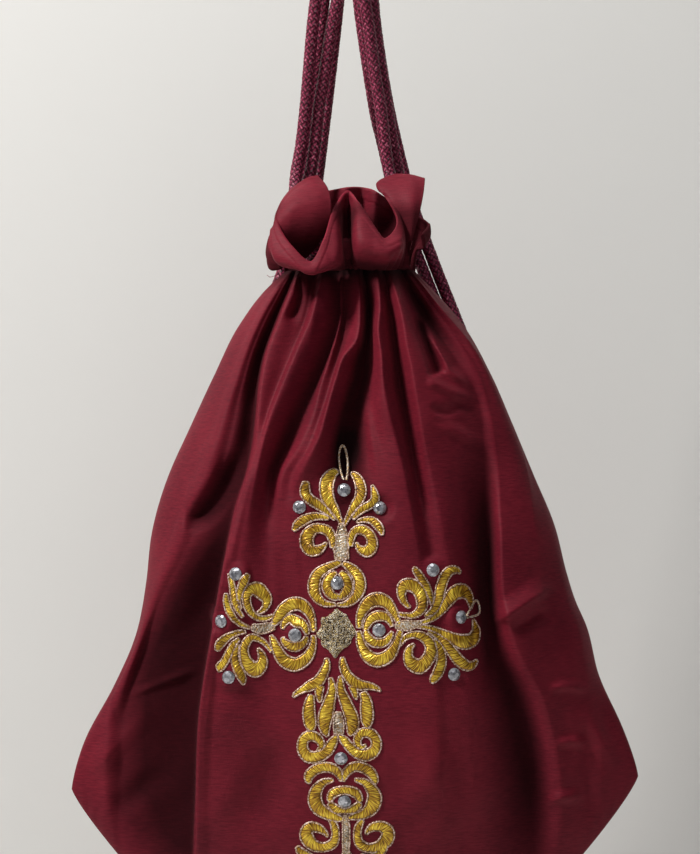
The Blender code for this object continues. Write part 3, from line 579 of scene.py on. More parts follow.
def panel(share, down, back):
    """Points of a panel, and how far its folds stand out there.

    share runs from the left seam to the right, and down from the neck to the bottom seam.

    A section is half an oval between the seams. It closes to nothing at the bottom seam, whose
    middle hangs lower than its corners. The folds, the small gathers at the neck and the puckers
    of the seams stand out from it.
    """
    share, down = np.broadcast_arrays(share, down)
    turned = SEAM_TURN * (1 - ease((down - 0.42) / 0.36))
    angle = math.pi - turned + share * (math.pi + turned) if back else (math.pi - turned) * (1 - share)
    c, s = np.cos(angle), np.sin(angle)
    left, right = section("left", down), section("right", down)
    middle, half = (right - left) / 2, (right + left) / 2
    square = 1 - 0.18 * (1 - ease(down / 0.12))
    x = (middle + half * np.sign(c) * np.abs(c) ** square) * PIXEL
    # The bottom corners are rounded off by 2 mm.
    x = x * (1 - 0.013 * np.exp(-(1 - np.abs(c)) / 0.03) * np.exp((down - 1) / 0.03))
    depth = np.where(s > 0, section("front", down), section("back", down)) * 0.001
    y = -np.sign(s) * np.abs(s) ** square * depth * np.sqrt(np.clip(1 - down**5, 0, None))
    drop = np.where(c > 0, CORNER_DROP + (RIGHT_CORNER_DROP - CORNER_DROP) * np.abs(c), CORNER_DROP)
    z = NECK_LEVEL - down * (drop + SAG * s * s)
    away = (1 - np.exp(-share / 0.02)) * (1 - np.exp((share - 1) / 0.02)) * (1 - np.exp((down - 1) / 0.02))
    out = 1 if back else -1
    y = y + out * (0.0016 * away - 0.0010 * np.exp(-down / 0.03) * s * s)
    # Puckers along the seams, about one each 8 mm, which die away within 10 mm of them.
    from_side = np.minimum(share, 1 - share) * 2 * half * PIXEL * 1.3
    side_pucker = np.sin(down * 52 + 3 * np.sin(down * 17)) * np.exp(-from_side / 0.006)
    from_foot = (1 - down) * 0.40
    foot_pucker = np.sin(x * 760 + 2.5 * np.sin(x * 130)) * np.exp(-from_foot / 0.007)
    seam = away * 0.00075 * (side_pucker * ease(down / 0.1) + foot_pucker)
    rucks = 0.0007 * np.sin(x * 88 + 2.1 * np.sin(z * 57)) * np.sin(z * 74 + 2.3 * np.sin(x * 49 + 1))
    rucks = rucks * ease(down / 0.3)
    # Small gathers at the neck, which fade within 50 mm.
    small = np.sin(share * 71 + 2.2 * np.sin(share * 23) + (2 if back else 0)) * np.exp(-down / 0.055)
    small = small * 0.0011 * ease(down / 0.03) * ease(share / 0.08) * ease((1 - share) / 0.08)
    inwards = ease(share / 0.09) * ease((1 - share) / 0.09) * ease((1 - down) / 0.08)
    if back:
        heights = fold_heights(BACK_FOLDS, x / PIXEL, -z / PIXEL)
    else:
        shows = shown(np.stack([x, y, z], axis=-1))
        heights = fold_heights(FOLDS, *shows) + line_heights(*shows, -left, right)
    y = y + out * ((heights + rucks) * inwards + seam + small)
    return np.stack([x, y, z], axis=-1), heights * inwards


def cloth_weave():
    """Shared by the burgundy cloths: colour variation and height of a napped plain weave.

    Stretched noise makes the level slubs of the weave, a finer one the crossing threads, and a
    broad one the patches where the nap lies differently.
    """
    group = bpy.data.node_groups.new("napped_weave", "ShaderNodeTree")
    for name, way in (("Slub", "INPUT"), ("Nap", "OUTPUT"), ("Height", "OUTPUT")):
        group.interface.new_socket(name, in_out=way, socket_type="NodeSocketFloat")
    start, end = group.nodes.new("NodeGroupInput"), group.nodes.new("NodeGroupOutput")
    place = add_node(group, "TexCoord", {}).outputs["Object"]

    def stretched(shape, scale, detail):
        along = add_node(group, "Mapping", {"Vector": place, "Scale": shape}).outputs["Vector"]
        return noise(group, along, scale, detail)

    slubs = stretched((0.22, 0.22, 1.6), 900, 2)
    threads = stretched((1.6, 1.6, 0.7), 1300, 1)
    patches = stretched((1, 1, 0.7), 26, 3)
    height = maths(group, "MULTIPLY_ADD", slubs, start.outputs["Slub"], threads)
    nap = maths(group, "MULTIPLY_ADD", slubs, 0.55, maths(group, "MULTIPLY", patches, 0.45))
    group.links.new(height, end.inputs["Height"])
    group.links.new(nap, end.inputs["Nap"])
    return group


weave = cloth_weave()


def cloth_material(name, dark, light, slub, roughness):
    """Burgundy cloth: the nap runs from a dark to a light tone, over the weave's own relief.

    Painted shade darkens its colour in the hollows, where the height that a piece keeps is below one; there
    its roughness rises too.
    """
    material, tree = new_material(name, {
        "Specular IOR Level": 0.15, "Sheen Weight": 0.06, "Sheen Roughness": 0.40,
        "Sheen Tint": (1.0, 0.20, 0.25, 1),
    })
    made = add_node(tree, "Group", {"Slub": slub}, node_tree=weave)
    colour = ramp(tree, made.outputs["Nap"], (0.34, dark), (0.66, light))
    painted_shade_tone = add_node(tree, "Attribute", {}, attribute_name="height").outputs["Fac"]
    # Painted shade: the colour is scaled down where the kept height falls below one.
    deep = add_node(tree, "MapRange", {"Value": painted_shade_tone, "To Min": 0.22}, clamp=False).outputs["Result"]
    dull = add_node(tree, "MapRange", {"Value": painted_shade_tone, "To Min": 1.0, "To Max": roughness})
    shaded = add_node(tree, "VectorMath", {0: colour, "Scale": deep}, operation="SCALE")
    relief = bump(tree, made.outputs["Height"], 0.30, 0.00035)
    feed_shader(tree, {"Base Color": shaded.outputs["Vector"], "Roughness": dull.outputs["Result"],
                       "Normal": relief})
    return material


def stone_seat(solid):
    """The middle of a CAD stone's base, and the way that the stone faces, square to its plane."""
    spots = np.array([solid.matrix_world @ v.co for v in solid.data.vertices])
    middle = spots.mean(axis=0)
    normal = np.linalg.svd(spots - middle)[2][-1]
    normal = normal * -np.sign(normal[1])
    level = (spots - middle) @ normal
    return spots[level < level.min() + 0.0002].mean(axis=0), normal


def held_to_stones(points):
    """The front's points, drawn to the plane under each stone of the CAD, where it is sewn down.

    Within 4 mm of a stone's middle the cloth lies in its plane, and it eases away by 9 mm.
    """
    points = points.copy()
    for solid in stone_solids:
        seat, normal = stone_seat(solid)
        base = seat - normal * 0.0001
        away = points - base
        plane = base[1] - (normal[0] * away[..., 0] + normal[2] * away[..., 2]) / normal[1]
        near = 1 - ease((np.hypot(away[..., 0], away[..., 2]) - 0.0040) / 0.0050)
        points[..., 1] += near * (plane - points[..., 1])
    return points


# Painted shade darkens the cloth's colour over this depth of a fold, and its tone never falls below this.
PAINTED_SHADE_DEPTH, PAINTED_SHADE_FLOOR = 0.009, -0.2
# A painted shadow behind the top arm of the cross, in pixels from the hook: the place of its middle
# line, where it starts, widens and ends, half its width above and below that, and its strength.
PAINTED_SHADOW_ACROSS, PAINTED_SHADOW_FROM, PAINTED_SHADOW_WIDENS, PAINTED_SHADOW_TO = 1, 490, 527, 590
PAINTED_SHADOW_NARROW, PAINTED_SHADOW_WIDE, PAINTED_SHADOW_STRENGTH = 15, 35, 0.68
stone_solids = [o for o in bpy.data.objects if o.name.startswith("stone_")]
panel_cloth = cloth_material("burgundy_suede_cloth", (0.105, 0.0046, 0.0135),
                             (0.190, 0.0108, 0.0235), 1.1, 0.62)
panels = {}
for name, back, across, downs, node, flat in (
    ("front_panel_cloth", False, 290, 320, "front_panel", (0.37, 0.38)),
    ("back_panel_cloth", True, 220, 240, "back_panel", (0.36, 0.37)),
):
    share = np.linspace(0, 1, across)
    # More rows and columns next to the seams, where the cloth turns.
    share = share - 0.035 * np.sin(math.tau * share) / math.tau
    down = np.linspace(0, 1, downs) ** 0.92
    points, folds = panel(share[:, None], down[None, :], back)
    faces = grid_faces(across, downs)
    if back:
        faces = faces[:, ::-1]
    else:
        points = held_to_stones(points)
    piece = add_piece(name, points, faces, panel_cloth)
    # Painted shade: the colour darkens in the folds' valleys and most of all at the neck, under the heading.
    nap = np.clip(1 + folds / PAINTED_SHADE_DEPTH, 0.0, 1) * (0.1 + 0.9 * ease(down / 0.045))
    nap = nap - 0.28 * (1 - ease(down / 0.025))
    # Painted shadow behind the top arm of the cross, on the front panel only.
    if not back:
        beside, below = shown(points)
        wide = PAINTED_SHADOW_NARROW + (PAINTED_SHADOW_WIDE - PAINTED_SHADOW_NARROW) * ease((below - PAINTED_SHADOW_WIDENS) / 75)
        within = ease((below - PAINTED_SHADOW_FROM) / 40) * (1 - ease((below - PAINTED_SHADOW_TO) / 70))
        nap -= PAINTED_SHADOW_STRENGTH * np.exp(-(((beside - PAINTED_SHADOW_ACROSS) / wide) ** 4)) * within
    keep_painted_tone(piece, np.maximum(nap, PAINTED_SHADE_FLOOR))
    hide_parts(node)
    panels[name] = points


# The headings
# Above the casing each panel runs on into a hemmed heading, which stands up behind and flops
# over in front as a ruffle. Its hem is turned in and sewn down with a row of small stitches.
CLOTH = 0.0013
TUNNEL_HEIGHT, TUNNEL_DEPTH, SEAM_GAP = 0.0176, 0.0098, 0.0003
HEM, STITCHED, TURNED_IN = 0.0078, 0.0070, 0.00045  # hem's depth, its stitches, and how far it swells
# Behind this depth and below this level, the ruffle's colour is darkened as painted shade.
RUFFLE_FRONT, RUFFLE_SHADE = 34, 274  # millimetres forward, and pixels below the hook

# A row for each turn of the front heading's folds: where it starts round the neck (across in
# pixels, forward in mm), then where it swells out over the cords, where its cloth bellies out and
# where its hem is (across, down, forward).
FRONT_HEADING = (
    (-59, 20.5, (-20, 322, 16), (-4, 264, 54), (-34, 247, 4)),
    (-58, 21.2, (-38, 322, 17), (-24, 263, 58), (-44, 250, 8)),
    (-57, 21.8, (-60, 324, 20), (-54, 270, 54), (-61, 263, 15)),
    (-55, 22.4, (-70, 326, 30), (-84, 302, 40), (-71, 280, 24)),
    (-51, 23.0, (-72, 334, 38), (-84, 336, 43), (-70, 298, 33)),
    (-44, 23.6, (-56, 336, 42), (-62, 346, 49), (-58, 318, 41)),
    (-35, 24.0, (-38, 340, 46), (-38, 352, 51), (-39, 334, 45)),
    (-24, 24.0, (-22, 340, 46), (-18, 346, 50), (-27, 312, 41)),
    (-13, 24.0, (-11, 336, 44), (-9, 330, 46), (-18, 283, 27)),
    (-6, 24.0, (-9, 324, 16), (-10, 302, 8), (-9, 267, 17)),
    (-1, 24.0, (-4, 318, 12), (-4, 298, 1), (-3, 262, 15)),
    (4, 24.0, (2, 320, 15), (1, 302, 8), (3, 265, 16)),
    (11, 24.0, (6, 324, 38), (5, 314, 43), (11, 278, 25)),
    (22, 24.0, (24, 325, 41), (27, 323, 46), (22, 298, 31)),
    (32, 23.6, (36, 325, 41), (42, 329, 45), (31, 311, 34)),
    (39, 23.1, (47, 322, 37), (57, 318, 39), (38, 310, 32)),
    (44, 22.8, (53, 320, 30), (56, 316, 34), (45, 301, 29)),
    (46, 22.6, (53, 322, 23), (57, 306, 30), (46, 292, 26)),
    (48, 22.4, (52, 322, 19), (56, 292, 27), (42, 281, 21)),
    (51, 22.1, (52, 322, 17), (54, 278, 27), (34, 267, 14)),
    (53, 21.9, (54, 322, 17), (54, 270, 32), (27, 256, 7)),
    (54.5, 21.7, (55, 322, 17), (58, 268, 35), (44, 248, 4)),
    (57, 21.3, (56, 322, 20), (66, 274, 36), (61, 248, 7)),
    (59, 20.8, (54, 320, 22), (71, 290, 31), (75, 251, 9)),
)
BACK_HEADING = (
    (-60, -8.0, (-74, 366, 2.0), (-67, 326, 4.0)),
    (-63, -12.0, (-88, 368, -3.0), (-78, 322, -1.0)),
    (-59, -16.5, (-84, 330, -12.0), (-76, 304, -11.0)),
    (-46, -19.0, (-46, 296, -20.0), (-48, 274, -21.0)),
    (-32, -20.0, (-34, 290, -12.0), (-34, 264, -13.0)),
    (-18, -20.0, (-20, 290, -22.0), (-20, 262, -21.0)),
    (-5, -20.0, (-4, 286, -12.0), (-4, 259, -13.0)),
    (9, -20.0, (10, 288, -22.0), (12, 259, -21.0)),
    (22, -20.0, (24, 290, -12.0), (26, 263, -13.0)),
    (36, -19.6, (42, 296, -21.0), (42, 273, -21.0)),
    (51, -18.0, (62, 306, -18.0), (62, 284, -18.0)),
    (62, -13.5, (82, 322, -12.0), (77, 295, -13.0)),
    (62, -8.0, (78, 338, -4.0), (71, 306, -4.0)),
)


def heading(table, share, up, out):
    """Points of a heading, from its foot at the neck to its hem.

    With u from 0 to 1 it is the curve (1-u)(1-u)(1-u) foot + 3u(1-u)(1-u) swell + 3uu(1-u) belly +
    uuu hem. Where a row has no swell, it rises straight beside the casing first. Pleats stand out
    from the foot and fade by half way up.
    """
    foot = curve_through([row[:2] for row in table], share)
    level = np.full(len(foot), NECK_LEVEL + SEAM_GAP)
    foot = np.stack([foot[:, 0] * PIXEL, -foot[:, 1] * 0.001, level], axis=-1)
    controls = [foot]
    if len(table[0]) == 4:
        controls.append(foot + np.array([0, 0, 1.5 * TUNNEL_HEIGHT]))
    for k in range(2, len(table[0])):
        place = curve_through([row[k] for row in table], share)
        controls.append(seen(place[:, 0], place[:, 1], place[:, 2]))
    u = up[None, :, None]
    weights = ((1 - u) ** 3, 3 * u * (1 - u) ** 2, 3 * u * u * (1 - u), u**3)
    made = sum(weight * control[:, None, :] for weight, control in zip(weights, controls))
    pleats = np.sin(share * 118 + 2.6 * np.sin(share * 29) + out) * 0.0011
    away = made - made.mean(axis=(0, 1)) * np.array([1, 1, 0]) - made * np.array([0, 0, 1])
    away /= np.linalg.norm(away, axis=-1, keepdims=True)
    fade = np.exp(-((up / 0.42) ** 2)) * ease(up / 0.02 + 0.3)
    edges = ease(share / 0.03) * ease((1 - share) / 0.03)
    return made + away * (pleats * edges)[:, None, None] * fade[None, :, None]


def normals_of(points):
    """The direction square to a grid of points: the cross product of its two slopes."""
    normal = np.cross(np.gradient(points, axis=0), np.gradient(points, axis=1))
    return normal / np.maximum(np.linalg.norm(normal, axis=-1, keepdims=True), 1e-12)


def thick_sheet(name, outer, inner, material):
    """A closed sheet between two grids of points, walled along its four edges."""
    ni, nj = outer.shape[:2]
    index = np.arange(ni * nj).reshape(ni, nj)
    quads = grid_faces(ni, nj)
    rim = np.concatenate([index[:, 0], index[-1, 1:], index[-2::-1, -1], index[0, -2:0:-1]])
    after = np.roll(rim, -1)
    walls = np.stack([after, rim, rim + ni * nj, after + ni * nj], axis=-1)
    points = np.concatenate([outer.reshape(-1, 3), inner.reshape(-1, 3)])
    return add_piece(name, points, np.concatenate([quads, quads[:, ::-1] + ni * nj, walls]), material)


# A lighter copy of the panel's cloth, as painted light on the headings.
lit_heading_cloth = cloth_material("burgundy_heading_cloth", (0.120, 0.0065, 0.0160),
                               (0.205, 0.0140, 0.0280), 1.1, 0.60)
up = np.linspace(0, 1, 66)
for name, table, towards, count, node, flat in (
    ("front_heading_ruffle", FRONT_HEADING, 1, 300, "front_heading", (0.160, 0.050)),
    ("back_heading_ruffle", BACK_HEADING, -1, 220, "back_heading", (0.115, 0.050)),
):
    outer = heading(table, np.linspace(0, 1, count), up, towards)
    normal = normals_of(outer)
    # The turned hem is twice as thick over its last 7 mm, with a dip where it is sewn.
    from_hem = np.linalg.norm(outer - outer[:, -1:], axis=-1)
    hem = TURNED_IN * ease((HEM - from_hem) / 0.0012)
    hem = hem - 0.0003 * np.exp(-((from_hem - STITCHED) / 0.0007) ** 2)
    edge = np.sqrt(np.clip(1 - (1 - np.clip(from_hem / 0.0009, 0, 1)) ** 2, 0.02, 1))
    middle = outer + normal * (CLOTH / 2 * towards)
    half = ((CLOTH / 2 + hem) * edge)[..., None]
    one, two = middle - normal * towards * half, middle + normal * towards * half
    piece = thick_sheet(name, *((one, two) if towards > 0 else (two, one)), lit_heading_cloth)
    # Painted shade darkens the colour inside the ruffle's hollows, below its hem and well behind its
    # lobes, and at its foot. A painted highlight lightens the very edge of the hem.
    behind = ease((RUFFLE_FRONT + 1000 * outer[..., 1]) / 10)
    inside = behind * ease((-outer[..., 2] / PIXEL - RUFFLE_SHADE) / 18)
    foot = np.exp(-((up / 0.25) ** 4))[None, :] + 0 * inside
    hem_highlight = 0.9 * np.exp(-((from_hem / 0.0006) ** 2))
    keep_painted_tone(piece, np.tile((1 + hem_highlight - np.maximum(0.8 * inside, 0.9 * foot)).ravel(), 2))
    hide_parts(node)


# The casings
# Tunnels of the same cloth behind the headings. The drawcords run through them and crowd the
# cloth into small gathers.
# A darker copy of the panel's cloth, as painted shade on the casings under the headings.
shaded_casing_cloth = cloth_material("burgundy_casing_cloth", (0.080, 0.0045, 0.0110),
                              (0.135, 0.0090, 0.0180), 1.1, 0.70)
CASING_FROM, CASING_TO, CASING_WALL = -0.0155, 0.0080, 0.0011
for name, forward, bow, node in (
    ("front_casing_tunnel", 0.0167, -1, "front_casing"),
    ("back_casing_tunnel", 0.0127, 1, "back_casing"),
):
    xs = np.linspace(CASING_FROM, CASING_TO, 60)
    turn = np.linspace(0, math.tau, 40, endpoint=False)
    w, h = TUNNEL_DEPTH / 2, TUNNEL_HEIGHT / 2
    level = NECK_LEVEL + SEAM_GAP + h
    shape = np.stack([np.sign(np.cos(turn)) * np.abs(np.cos(turn)) ** 0.6 * w,
                      np.sign(np.sin(turn)) * np.abs(np.sin(turn)) ** 0.6 * h], axis=-1)
    shrink = 1 - 0.045 * (1 + np.sin(xs[:, None] * 1900 + 1.5 * np.sin(turn)[None, :] * 2)) / 2
    rings = []
    for inset in (0.0, CASING_WALL):
        ring = np.stack([xs[:, None] + 0 * turn[None, :],
                         bow * forward + shape[None, :, 0] * (1 - inset / w) * shrink,
                         level + shape[None, :, 1] * (1 - inset / h) * shrink], axis=-1)
        rings.append(ring)
    n, k = len(xs), len(turn)
    outer_faces = grid_faces(n, k, closed=True)
    first = np.arange(k)
    after = (first + 1) % k
    last = first + (n - 1) * k
    ends = np.concatenate([
        np.stack([first, after, after + n * k, first + n * k], axis=-1),
        np.stack([last + n * k, last - first + after + n * k, last - first + after, last], axis=-1),
    ])
    tunnel = add_piece(name, np.concatenate([r.reshape(-1, 3) for r in rings]),
                       np.concatenate([outer_faces[:, ::-1], outer_faces + n * k, ends]), shaded_casing_cloth)
    keep_painted_tone(tunnel, np.ones(2 * n * k))
    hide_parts(node)


# The embroidered cross
# Gold satin stitch over padding, in leaves, rings and scrolls, with silver thread for the necks
# and the middle, all edged with a twisted pinkish-silver thread and sewn to the front panel.
# Each arm was read from its own enlargement: origin is its corner in the photograph's pixels and
# scale its enlargement. Each strip of stitching is a row of (across, down, width) along its middle.
RIGHT_ARM = {"origin": (330, 555), "scale": (9.8, 9.8), "gold": (
    ((690, 690, 24), (625, 560, 70), (555, 465, 105), (460, 435, 125), (365, 480, 110), (300, 590, 70),
     (283, 715, 34)),
    ((283, 745, 34), (305, 870, 75), (375, 990, 110), (470, 1030, 120), (575, 985, 110), (645, 880, 70),
     (690, 740, 40)),
    ((610, 700, 20), (580, 640, 50), (530, 600, 80), (465, 597, 90), (400, 630, 80), (362, 690, 60),
     (350, 735, 40)),
    ((350, 740, 40), (368, 800, 70), (420, 850, 80), (480, 862, 80), (545, 845, 70), (590, 795, 45),
     (612, 750, 20)),
    ((650, 575, 20), (740, 590, 36), (820, 588, 48), (890, 530, 80), (900, 440, 98), (868, 345, 110),
     (800, 295, 115), (725, 300, 105), (700, 370, 75), (718, 440, 55), (755, 490, 35), (785, 515, 12)),
    ((1000, 500, 16), (985, 420, 40), (945, 320, 62), (890, 225, 66), (840, 150, 50), (815, 125, 20)),
    ((930, 600, 16), (1010, 540, 60), (1058, 440, 78), (1085, 320, 88), (1120, 215, 90), (1180, 150, 75),
     (1240, 150, 50), (1275, 175, 14)),
    ((800, 665, 16), (900, 660, 30), (1000, 620, 40), (1090, 545, 60), (1150, 460, 90), (1215, 375, 120),
     (1290, 355, 135), (1350, 400, 80), (1372, 470, 45), (1378, 525, 12)),
    ((800, 690, 16), (900, 700, 30), (1000, 722, 40), (1100, 765, 60), (1200, 815, 95), (1300, 850, 130),
     (1385, 830, 120), (1425, 750, 75), (1415, 690, 45), (1400, 630, 12)),
    ((960, 740, 16), (1040, 790, 40), (1120, 850, 70), (1190, 940, 88), (1260, 1030, 95), (1340, 1085, 85),
     (1400, 1070, 55), (1435, 1025, 14)),
    ((1010, 830, 16), (1060, 880, 50), (1088, 970, 75), (1085, 1070, 88), (1050, 1160, 85),
     (1010, 1220, 60), (995, 1250, 20)),
    ((680, 885, 16), (730, 815, 40), (810, 780, 50), (900, 795, 75), (965, 850, 90), (990, 930, 100),
     (950, 1030, 110), (880, 1090, 130), (800, 1060, 115), (765, 990, 80), (775, 930, 60), (800, 890, 30),
     (828, 875, 12)),
), "silver": (
    ((640, 690, 40), (700, 690, 80), (760, 690, 90), (830, 680, 60), (900, 670, 30)),
)}
LEFT_ARM = {"origin": (200, 555), "scale": (10.455, 10.455), "gold": (
    ((760, 740, 30), (815, 650, 95), (880, 565, 115), (960, 515, 125), (1050, 515, 120), (1130, 580, 95),
     (1175, 680, 60), (1190, 800, 36)),
    ((1190, 840, 36), (1180, 950, 60), (1130, 1060, 100), (1040, 1130, 120), (960, 1140, 130),
     (870, 1090, 120), (810, 990, 90), (770, 900, 60), (740, 840, 24)),
    ((860, 770, 24), (890, 700, 70), (950, 665, 85), (1010, 695, 110), (1080, 730, 80), (1110, 790, 50),
     (1120, 830, 30)),
    ((1115, 850, 30), (1090, 910, 60), (1020, 950, 85), (950, 950, 85), (890, 910, 60), (865, 860, 24)),
    ((770, 630, 20), (700, 660, 40), (620, 660, 44), (550, 620, 55), (500, 540, 70), (485, 440, 75),
     (520, 370, 100), (600, 360, 140), (680, 430, 115), (700, 480, 85), (680, 545, 55), (640, 585, 36),
     (600, 605, 14)),
    ((500, 200, 30), (470, 250, 65), (445, 300, 70), (415, 400, 56), (405, 500, 30), (430, 560, 14)),
    ((315, 190, 30), (335, 300, 50), (350, 400, 60), (370, 500, 60), (400, 580, 40), (450, 650, 16)),
    ((272, 400, 20), (275, 480, 50), (300, 570, 60), (350, 660, 50), (430, 725, 36), (520, 760, 20)),
    ((480, 800, 20), (390, 812, 40), (300, 850, 60), (235, 900, 80), (195, 950, 70), (180, 1000, 24)),
    ((410, 870, 20), (355, 930, 55), (305, 1020, 65), (265, 1100, 70), (215, 1165, 85), (175, 1185, 60)),
    ((400, 930, 20), (370, 1020, 60), (370, 1110, 75), (400, 1200, 85), (440, 1290, 70), (455, 1350, 20)),
    ((750, 1010, 20), (690, 930, 36), (620, 880, 44), (540, 860, 60), (480, 920, 75), (460, 1010, 80),
     (490, 1120, 110), (570, 1195, 150), (640, 1150, 115), (655, 1080, 80), (635, 1020, 50),
     (605, 975, 14)),
), "silver": (
    ((780, 740, 60), (700, 760, 90), (620, 770, 90), (540, 750, 50)),
)}
TOP_LEAVES = (
    ((712, 510, 20), (640, 525, 110), (580, 600, 155), (562, 690, 160), (572, 790, 150), (610, 880, 125),
     (660, 960, 90), (708, 1050, 52), (745, 1140, 24)),
    ((855, 525, 30), (915, 560, 80), (960, 640, 110), (978, 730, 120), (960, 820, 110), (910, 900, 90),
     (862, 980, 60), (815, 1070, 40), (775, 1150, 24)),
    ((315, 620, 60), (302, 700, 100), (312, 780, 110), (370, 845, 105), (450, 895, 100), (530, 955, 75),
     (600, 1020, 40), (660, 1080, 20)),
    ((1116, 665, 12), (1142, 760, 70), (1145, 840, 85), (1080, 905, 80), (1000, 950, 75), (940, 1000, 60),
     (880, 1070, 24)),
    ((165, 1210, 30), (215, 1140, 90), (300, 1080, 100), (400, 1045, 80), (490, 1045, 60), (590, 1065, 30)),
    ((1235, 1265, 20), (1210, 1190, 75), (1150, 1120, 80), (1080, 1085, 60), (1000, 1085, 40),
     (930, 1110, 20)),
)
TOP_ARM = {"origin": (280, 430), "scale": (12.06, 12.06), "gold": TOP_LEAVES + (
    ((640, 1420, 50), (632, 1320, 80), (585, 1225, 100), (500, 1190, 95), (410, 1195, 110),
     (335, 1270, 140), (325, 1370, 150), (370, 1445, 130), (450, 1450, 100), (515, 1410, 60),
     (562, 1360, 16)),
    ((850, 1400, 50), (862, 1300, 70), (905, 1220, 80), (985, 1200, 100), (1065, 1240, 100),
     (1110, 1320, 110), (1110, 1400, 120), (1060, 1460, 130), (990, 1450, 90), (945, 1410, 50),
     (925, 1355, 14)),
), "silver": (
    ((745, 1120, 30), (745, 1250, 120), (745, 1400, 150), (745, 1560, 160)),
)}
TOP_RING = {"origin": (290, 535), "scale": (15.68, 15.68), "gold": (
    ((800, 420, 60), (690, 465, 95), (570, 520, 120), (440, 610, 150), (385, 740, 170), (380, 870, 165),
     (430, 980, 130), (520, 1060, 90), (620, 1085, 60), (720, 1090, 30)),
    ((830, 440, 60), (930, 500, 110), (1030, 590, 150), (1090, 700, 165), (1095, 820, 170),
     (1060, 930, 140), (980, 1020, 110), (900, 1070, 80), (830, 1090, 50), (740, 1095, 30)),
    ((730, 590, 40), (650, 640, 100), (590, 740, 130), (585, 830, 140), (630, 920, 120), (700, 965, 100),
     (760, 965, 80)),
    ((785, 590, 60), (860, 650, 110), (905, 740, 130), (910, 820, 140), (870, 900, 130), (810, 960, 90),
     (750, 975, 60)),
), "silver": (
    ((800, 0, 200), (800, 200, 230), (790, 330, 140), (790, 400, 60)),
)}
LOWER_ARM = {"origin": (270, 650), "scale": (11.2, 11.2), "gold": (
    ((635, 90, 30), (635, 170, 70), (600, 260, 90), (540, 350, 110), (450, 400, 100), (370, 440, 60),
     (290, 490, 36), (262, 525, 12)),
    ((560, 400, 90), (550, 480, 70), (555, 540, 50), (560, 585, 20)),
    ((812, 80, 30), (820, 170, 75), (860, 270, 90), (930, 350, 110), (1010, 390, 100), (1100, 400, 70),
     (1180, 420, 45), (1240, 455, 12)),
    ((925, 400, 80), (950, 470, 60), (960, 520, 40), (965, 550, 14)),
    ((680, 310, 30), (698, 440, 75), (660, 600, 120), (628, 720, 150), (612, 820, 130), (620, 900, 90),
     (650, 965, 16)),
    ((790, 290, 20), (790, 370, 60), (800, 460, 80), (840, 560, 110), (880, 660, 125), (915, 750, 135),
     (925, 850, 130), (900, 930, 60), (885, 950, 16)),
    ((465, 500, 50), (445, 590, 100), (437, 700, 125), (450, 800, 125), (470, 865, 90), (490, 895, 20)),
    ((1040, 470, 60), (1075, 560, 105), (1085, 660, 130), (1090, 760, 125), (1080, 830, 90),
     (1060, 860, 20)),
    ((750, 950, 20), (705, 1030, 90), (640, 1130, 110), (540, 1190, 110), (430, 1190, 120),
     (370, 1110, 110), (375, 1010, 100), (440, 960, 100), (520, 975, 90), (570, 1030, 70), (575, 1090, 50),
     (530, 1125, 14)),
    ((770, 950, 20), (830, 1010, 80), (890, 1080, 90), (970, 1150, 100), (1080, 1175, 120),
     (1170, 1120, 110), (1190, 1020, 100), (1130, 935, 100), (1040, 925, 90), (985, 980, 80),
     (985, 1050, 60), (1030, 1090, 40), (1075, 1060, 14)),
), "silver": (
    ((765, 690, 50), (765, 760, 90), (770, 850, 110), (770, 940, 90)),
)}
LOWER_RINGS = {"origin": (260, 740), "scale": (9.8, 9.8), "gold": (
    ((800, 400, 20), (770, 320, 70), (700, 270, 80), (620, 265, 85), (540, 290, 85), (480, 350, 80),
     (480, 420, 30)),
    ((815, 400, 20), (850, 310, 70), (920, 260, 80), (1000, 265, 85), (1080, 310, 85), (1125, 380, 60),
     (1130, 430, 16)),
    ((720, 388, 20), (620, 415, 60), (555, 490, 100), (540, 580, 125), (575, 665, 120), (660, 725, 90),
     (740, 755, 70), (815, 775, 30)),
    ((930, 385, 20), (1030, 415, 60), (1100, 490, 100), (1122, 570, 130), (1090, 665, 120),
     (1010, 725, 80), (930, 745, 55), (860, 765, 24)),
    ((680, 600, 40), (720, 520, 80), (830, 490, 70), (940, 520, 80), (985, 600, 40)),
    ((680, 610, 40), (740, 670, 70), (830, 690, 40), (925, 670, 70), (985, 610, 40)),
    ((690, 770, 30), (730, 840, 60), (742, 930, 65), (715, 1010, 80), (630, 1047, 75), (530, 1030, 95),
     (470, 970, 120), (455, 900, 110), (500, 850, 90), (580, 865, 70), (640, 905, 35), (665, 945, 12)),
    ((1005, 780, 30), (965, 850, 60), (955, 940, 65), (985, 1020, 80), (1070, 1055, 75), (1170, 1035, 95),
     (1240, 970, 120), (1250, 890, 110), (1190, 845, 90), (1110, 850, 70), (1060, 885, 40), (1040, 920, 12)),
), "silver": (
    ((835, 730, 30), (845, 850, 60), (845, 1000, 60), (840, 1130, 40)),
)}
# Below the photograph's edge the cross ends as its top arm begins, upside down.
FOOT = {"origin": (283.4, 946.4), "scale": (12.06, -12.06), "gold": TOP_LEAVES, "silver": ()}
THREAD = 0.00045
PADDING, SILVER_PADDING = 0.0011, 0.0007  # how high the stitching stands over its padding
LEAST_WIDTH = 1.1  # of a strip, in pixels
PLY_REPEAT = 0.0016  # along the edging, one turn of its two plies


